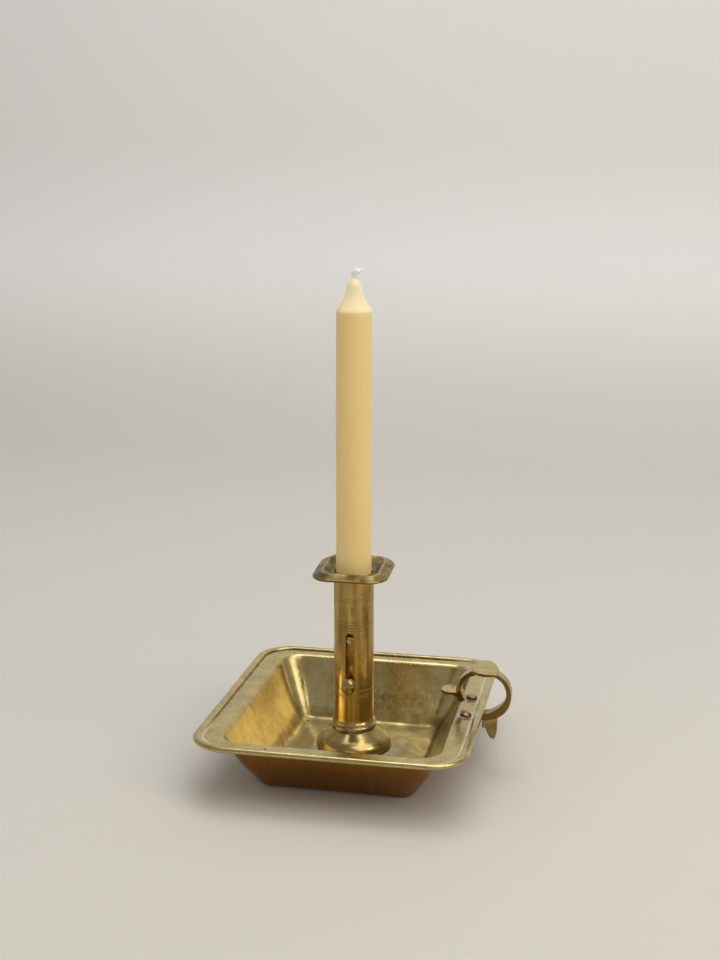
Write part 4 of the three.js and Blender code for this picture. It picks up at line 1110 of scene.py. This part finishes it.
add_piece("tray_dish", make_tray(), SHEET_BRASS, "base", ["tray"])
add_piece("handle_casting", make_handle(), CAST_BRASS, "base", ["handle"])
for rivet in RIVETS:
    add_piece(rivet + "_head", make_rivet(rivet), COPPER, "base", [rivet])
add_piece("column_foot_turned", make_foot(), FOOT_BRASS, "base", ["column_foot"])
add_piece("column_tube_turned", make_tube(), TURNED_BRASS, "base", ["column_tube"])
add_piece("drip_pan_pressed", make_pan(), PAN_BRASS, "base", ["drip_pan"])
add_piece(
    "ejector_sleeve_drawn", make_sleeve(), SLEEVE_BRASS, "ejector", ["ejector_sleeve"])
add_piece("ejector_knob_turned", make_knob(), KNOB_BRASS, "ejector", ["ejector_knob"])
add_piece("candle_drawn", make_candle(), WAX, "candle", ["candle"])
add_piece("wick_plaited", make_wick(), COTTON, "candle", ["wick"])

for kept, kept_material in (
    ("rim_wire", IRON), ("fixing_washer", SHEET_BRASS), ("fixing_nut", CAST_BRASS),
    ("ejector_disc", TURNED_BRASS), ("knob_boss", TURNED_BRASS),
):
    NODES[kept].data.materials.clear()
    NODES[kept].data.materials.append(kept_material)


# Camera

def set_camera():
    """The photograph's own view: a lens of 54 mm on a 36 mm frame, just right of the front and looking
    down by about 12 degrees. Directions are unit vectors of the picture's right, up and depth."""
    lens = bpy.data.cameras.new("camera")
    lens.lens = 54.075
    lens.sensor_width = 36.0
    camera = bpy.data.objects.new("camera", lens)
    bpy.context.scene.collection.objects.link(camera)
    depth = np.array([-0.1951, 0.9571, -0.2144])
    depth /= np.linalg.norm(depth)
    up = np.array([-0.0441, 0.2098, 0.9767])
    right = np.cross(depth, up)
    right /= np.linalg.norm(right)
    up = np.cross(right, depth)
    turn = Matrix(np.column_stack([right, up, -depth]).tolist()).to_4x4()
    place = (np.array([173.9, -834.8, 366.1]) + AXIS) / 1000
    camera.matrix_world = Matrix.Translation(place) @ turn
    bpy.context.scene.camera = camera


# Stage and light

def painted_stage():
    """Matt paint of the stage: the eye reads a pale, faintly warm floor that turns to a plain grey-white
    where it rises behind."""
    material, tree, shader = new_material("painted_stage")
    place = add(tree, "ShaderNodeTexCoord").outputs["Object"]
    height = add(tree, "ShaderNodeSeparateXYZ", inputs={"Vector": place})
    risen = add(tree, "ShaderNodeMapRange", {"interpolation_type": "SMOOTHSTEP"}, {
        "Value": height.outputs["Z"], "From Min": 0.0, "From Max": 0.25})
    colour = add(tree, "ShaderNodeMix", {"data_type": "RGBA"}, {
        0: risen.outputs["Result"], 6: linear("#c8c5be"), 7: linear("#e5e5e4")})
    tree.links.new(colour.outputs[2], shader.inputs["Base Color"])
    shader.inputs["Roughness"].default_value = 0.75
    return material


def set_stage():
    """A floor that sweeps up into a wall behind: one sheet whose section is a flat, a quarter round and
    an upright."""
    bend, wall, reach, half_wide = 400, 1300, 3000, 3500
    angle = np.radians(np.linspace(-90, 0, 24))
    curve = np.stack([wall - bend + bend * np.cos(angle), bend + bend * np.sin(angle)], 1)
    section = np.concatenate([[(-reach, 0)], curve, [(wall, reach)]])
    across = np.linspace(-half_wide, half_wide, 2)
    grid = np.stack(np.broadcast_arrays(across, section[:, :1], section[:, 1:]), -1)
    sheet = bpy.data.meshes.new("stage_sweep")
    sheet.from_pydata((grid.reshape(-1, 3) / 1000).tolist(), [], grid_faces(len(section), 2).tolist())
    sheet.polygons.foreach_set("use_smooth", np.ones(len(sheet.polygons), bool))
    sheet.materials.append(painted_stage())
    sweep = bpy.data.objects.new("stage_sweep", sheet)
    bpy.context.scene.collection.objects.link(sweep)


def area_light(name, at, aim, size, power, colour):
    """A square soft light at a place, facing another."""
    data = bpy.data.lights.new(name, "AREA")
    data.size = size
    data.energy = power
    data.color = linear(colour)[:3]
    light = bpy.data.objects.new(name, data)
    bpy.context.scene.collection.objects.link(light)
    depth = np.array(aim, float) - np.array(at, float)
    depth /= np.linalg.norm(depth)
    right = np.cross(depth, [0.02, 0.01, 1.0])
    right /= np.linalg.norm(right)
    turn = Matrix(np.column_stack([right, np.cross(right, depth), -depth]).tolist()).to_4x4()
    light.matrix_world = Matrix.Translation(at) @ turn
    return light


def set_light():
    """A lamp high on the right with a window below it, a wide ceiling and a near wall on the left that
    fill, a wash on the wall behind, and a room that is pale behind the object and darker overhead and behind
    the camera."""
    area_light("light_lamp", (0.79, -0.58, 1.31), (0, 0, 0.1), 1.4, 11.5, "#fff8ee")
    area_light("light_window", (1.285, -0.519, 0.85), (0, 0, 0.1), 0.42, 2.2, "#fffaf2")
    # Ceiling and near wall only fill: the metal does not mirror them
    ceiling = area_light("light_ceiling", (0.0, 0.3, 2.3), (0, 0.2, 0.0), 2.4, 10.0, "#fffdf9")
    ceiling.visible_glossy = False
    near_wall = area_light("light_near_wall", (-1.1, -0.7, 0.9), (0, 0, 0.15), 1.4, 3.6, "#fff9f0")
    near_wall.visible_glossy = False
    area_light("light_wall", (0.0, 0.35, 2.1), (0, 1.3, 0.6), 1.2, 12.0, "#fbfcff")
    world = bpy.data.worlds.new("room")
    bpy.context.scene.world = world
    world.use_nodes = True
    tree = world.node_tree
    tree.nodes.clear()
    direction = add(tree, "ShaderNodeSeparateXYZ", inputs={
        "Vector": add(tree, "ShaderNodeTexCoord").outputs["Generated"]})
    depth = add(tree, "ShaderNodeMapRange", {"interpolation_type": "SMOOTHSTEP"}, {
        "Value": direction.outputs["Y"], "From Min": 0.05, "From Max": 0.95,
        "To Min": 0.36, "To Max": 1.15})
    room = add(tree, "ShaderNodeBackground", inputs={
        "Color": linear("#f3f2ee"), "Strength": depth.outputs["Result"]})
    add(tree, "ShaderNodeOutputWorld", inputs={"Surface": room.outputs["Background"]})


set_camera()
set_stage()
set_light()
bpy.context.scene.view_settings.view_transform = "Standard"
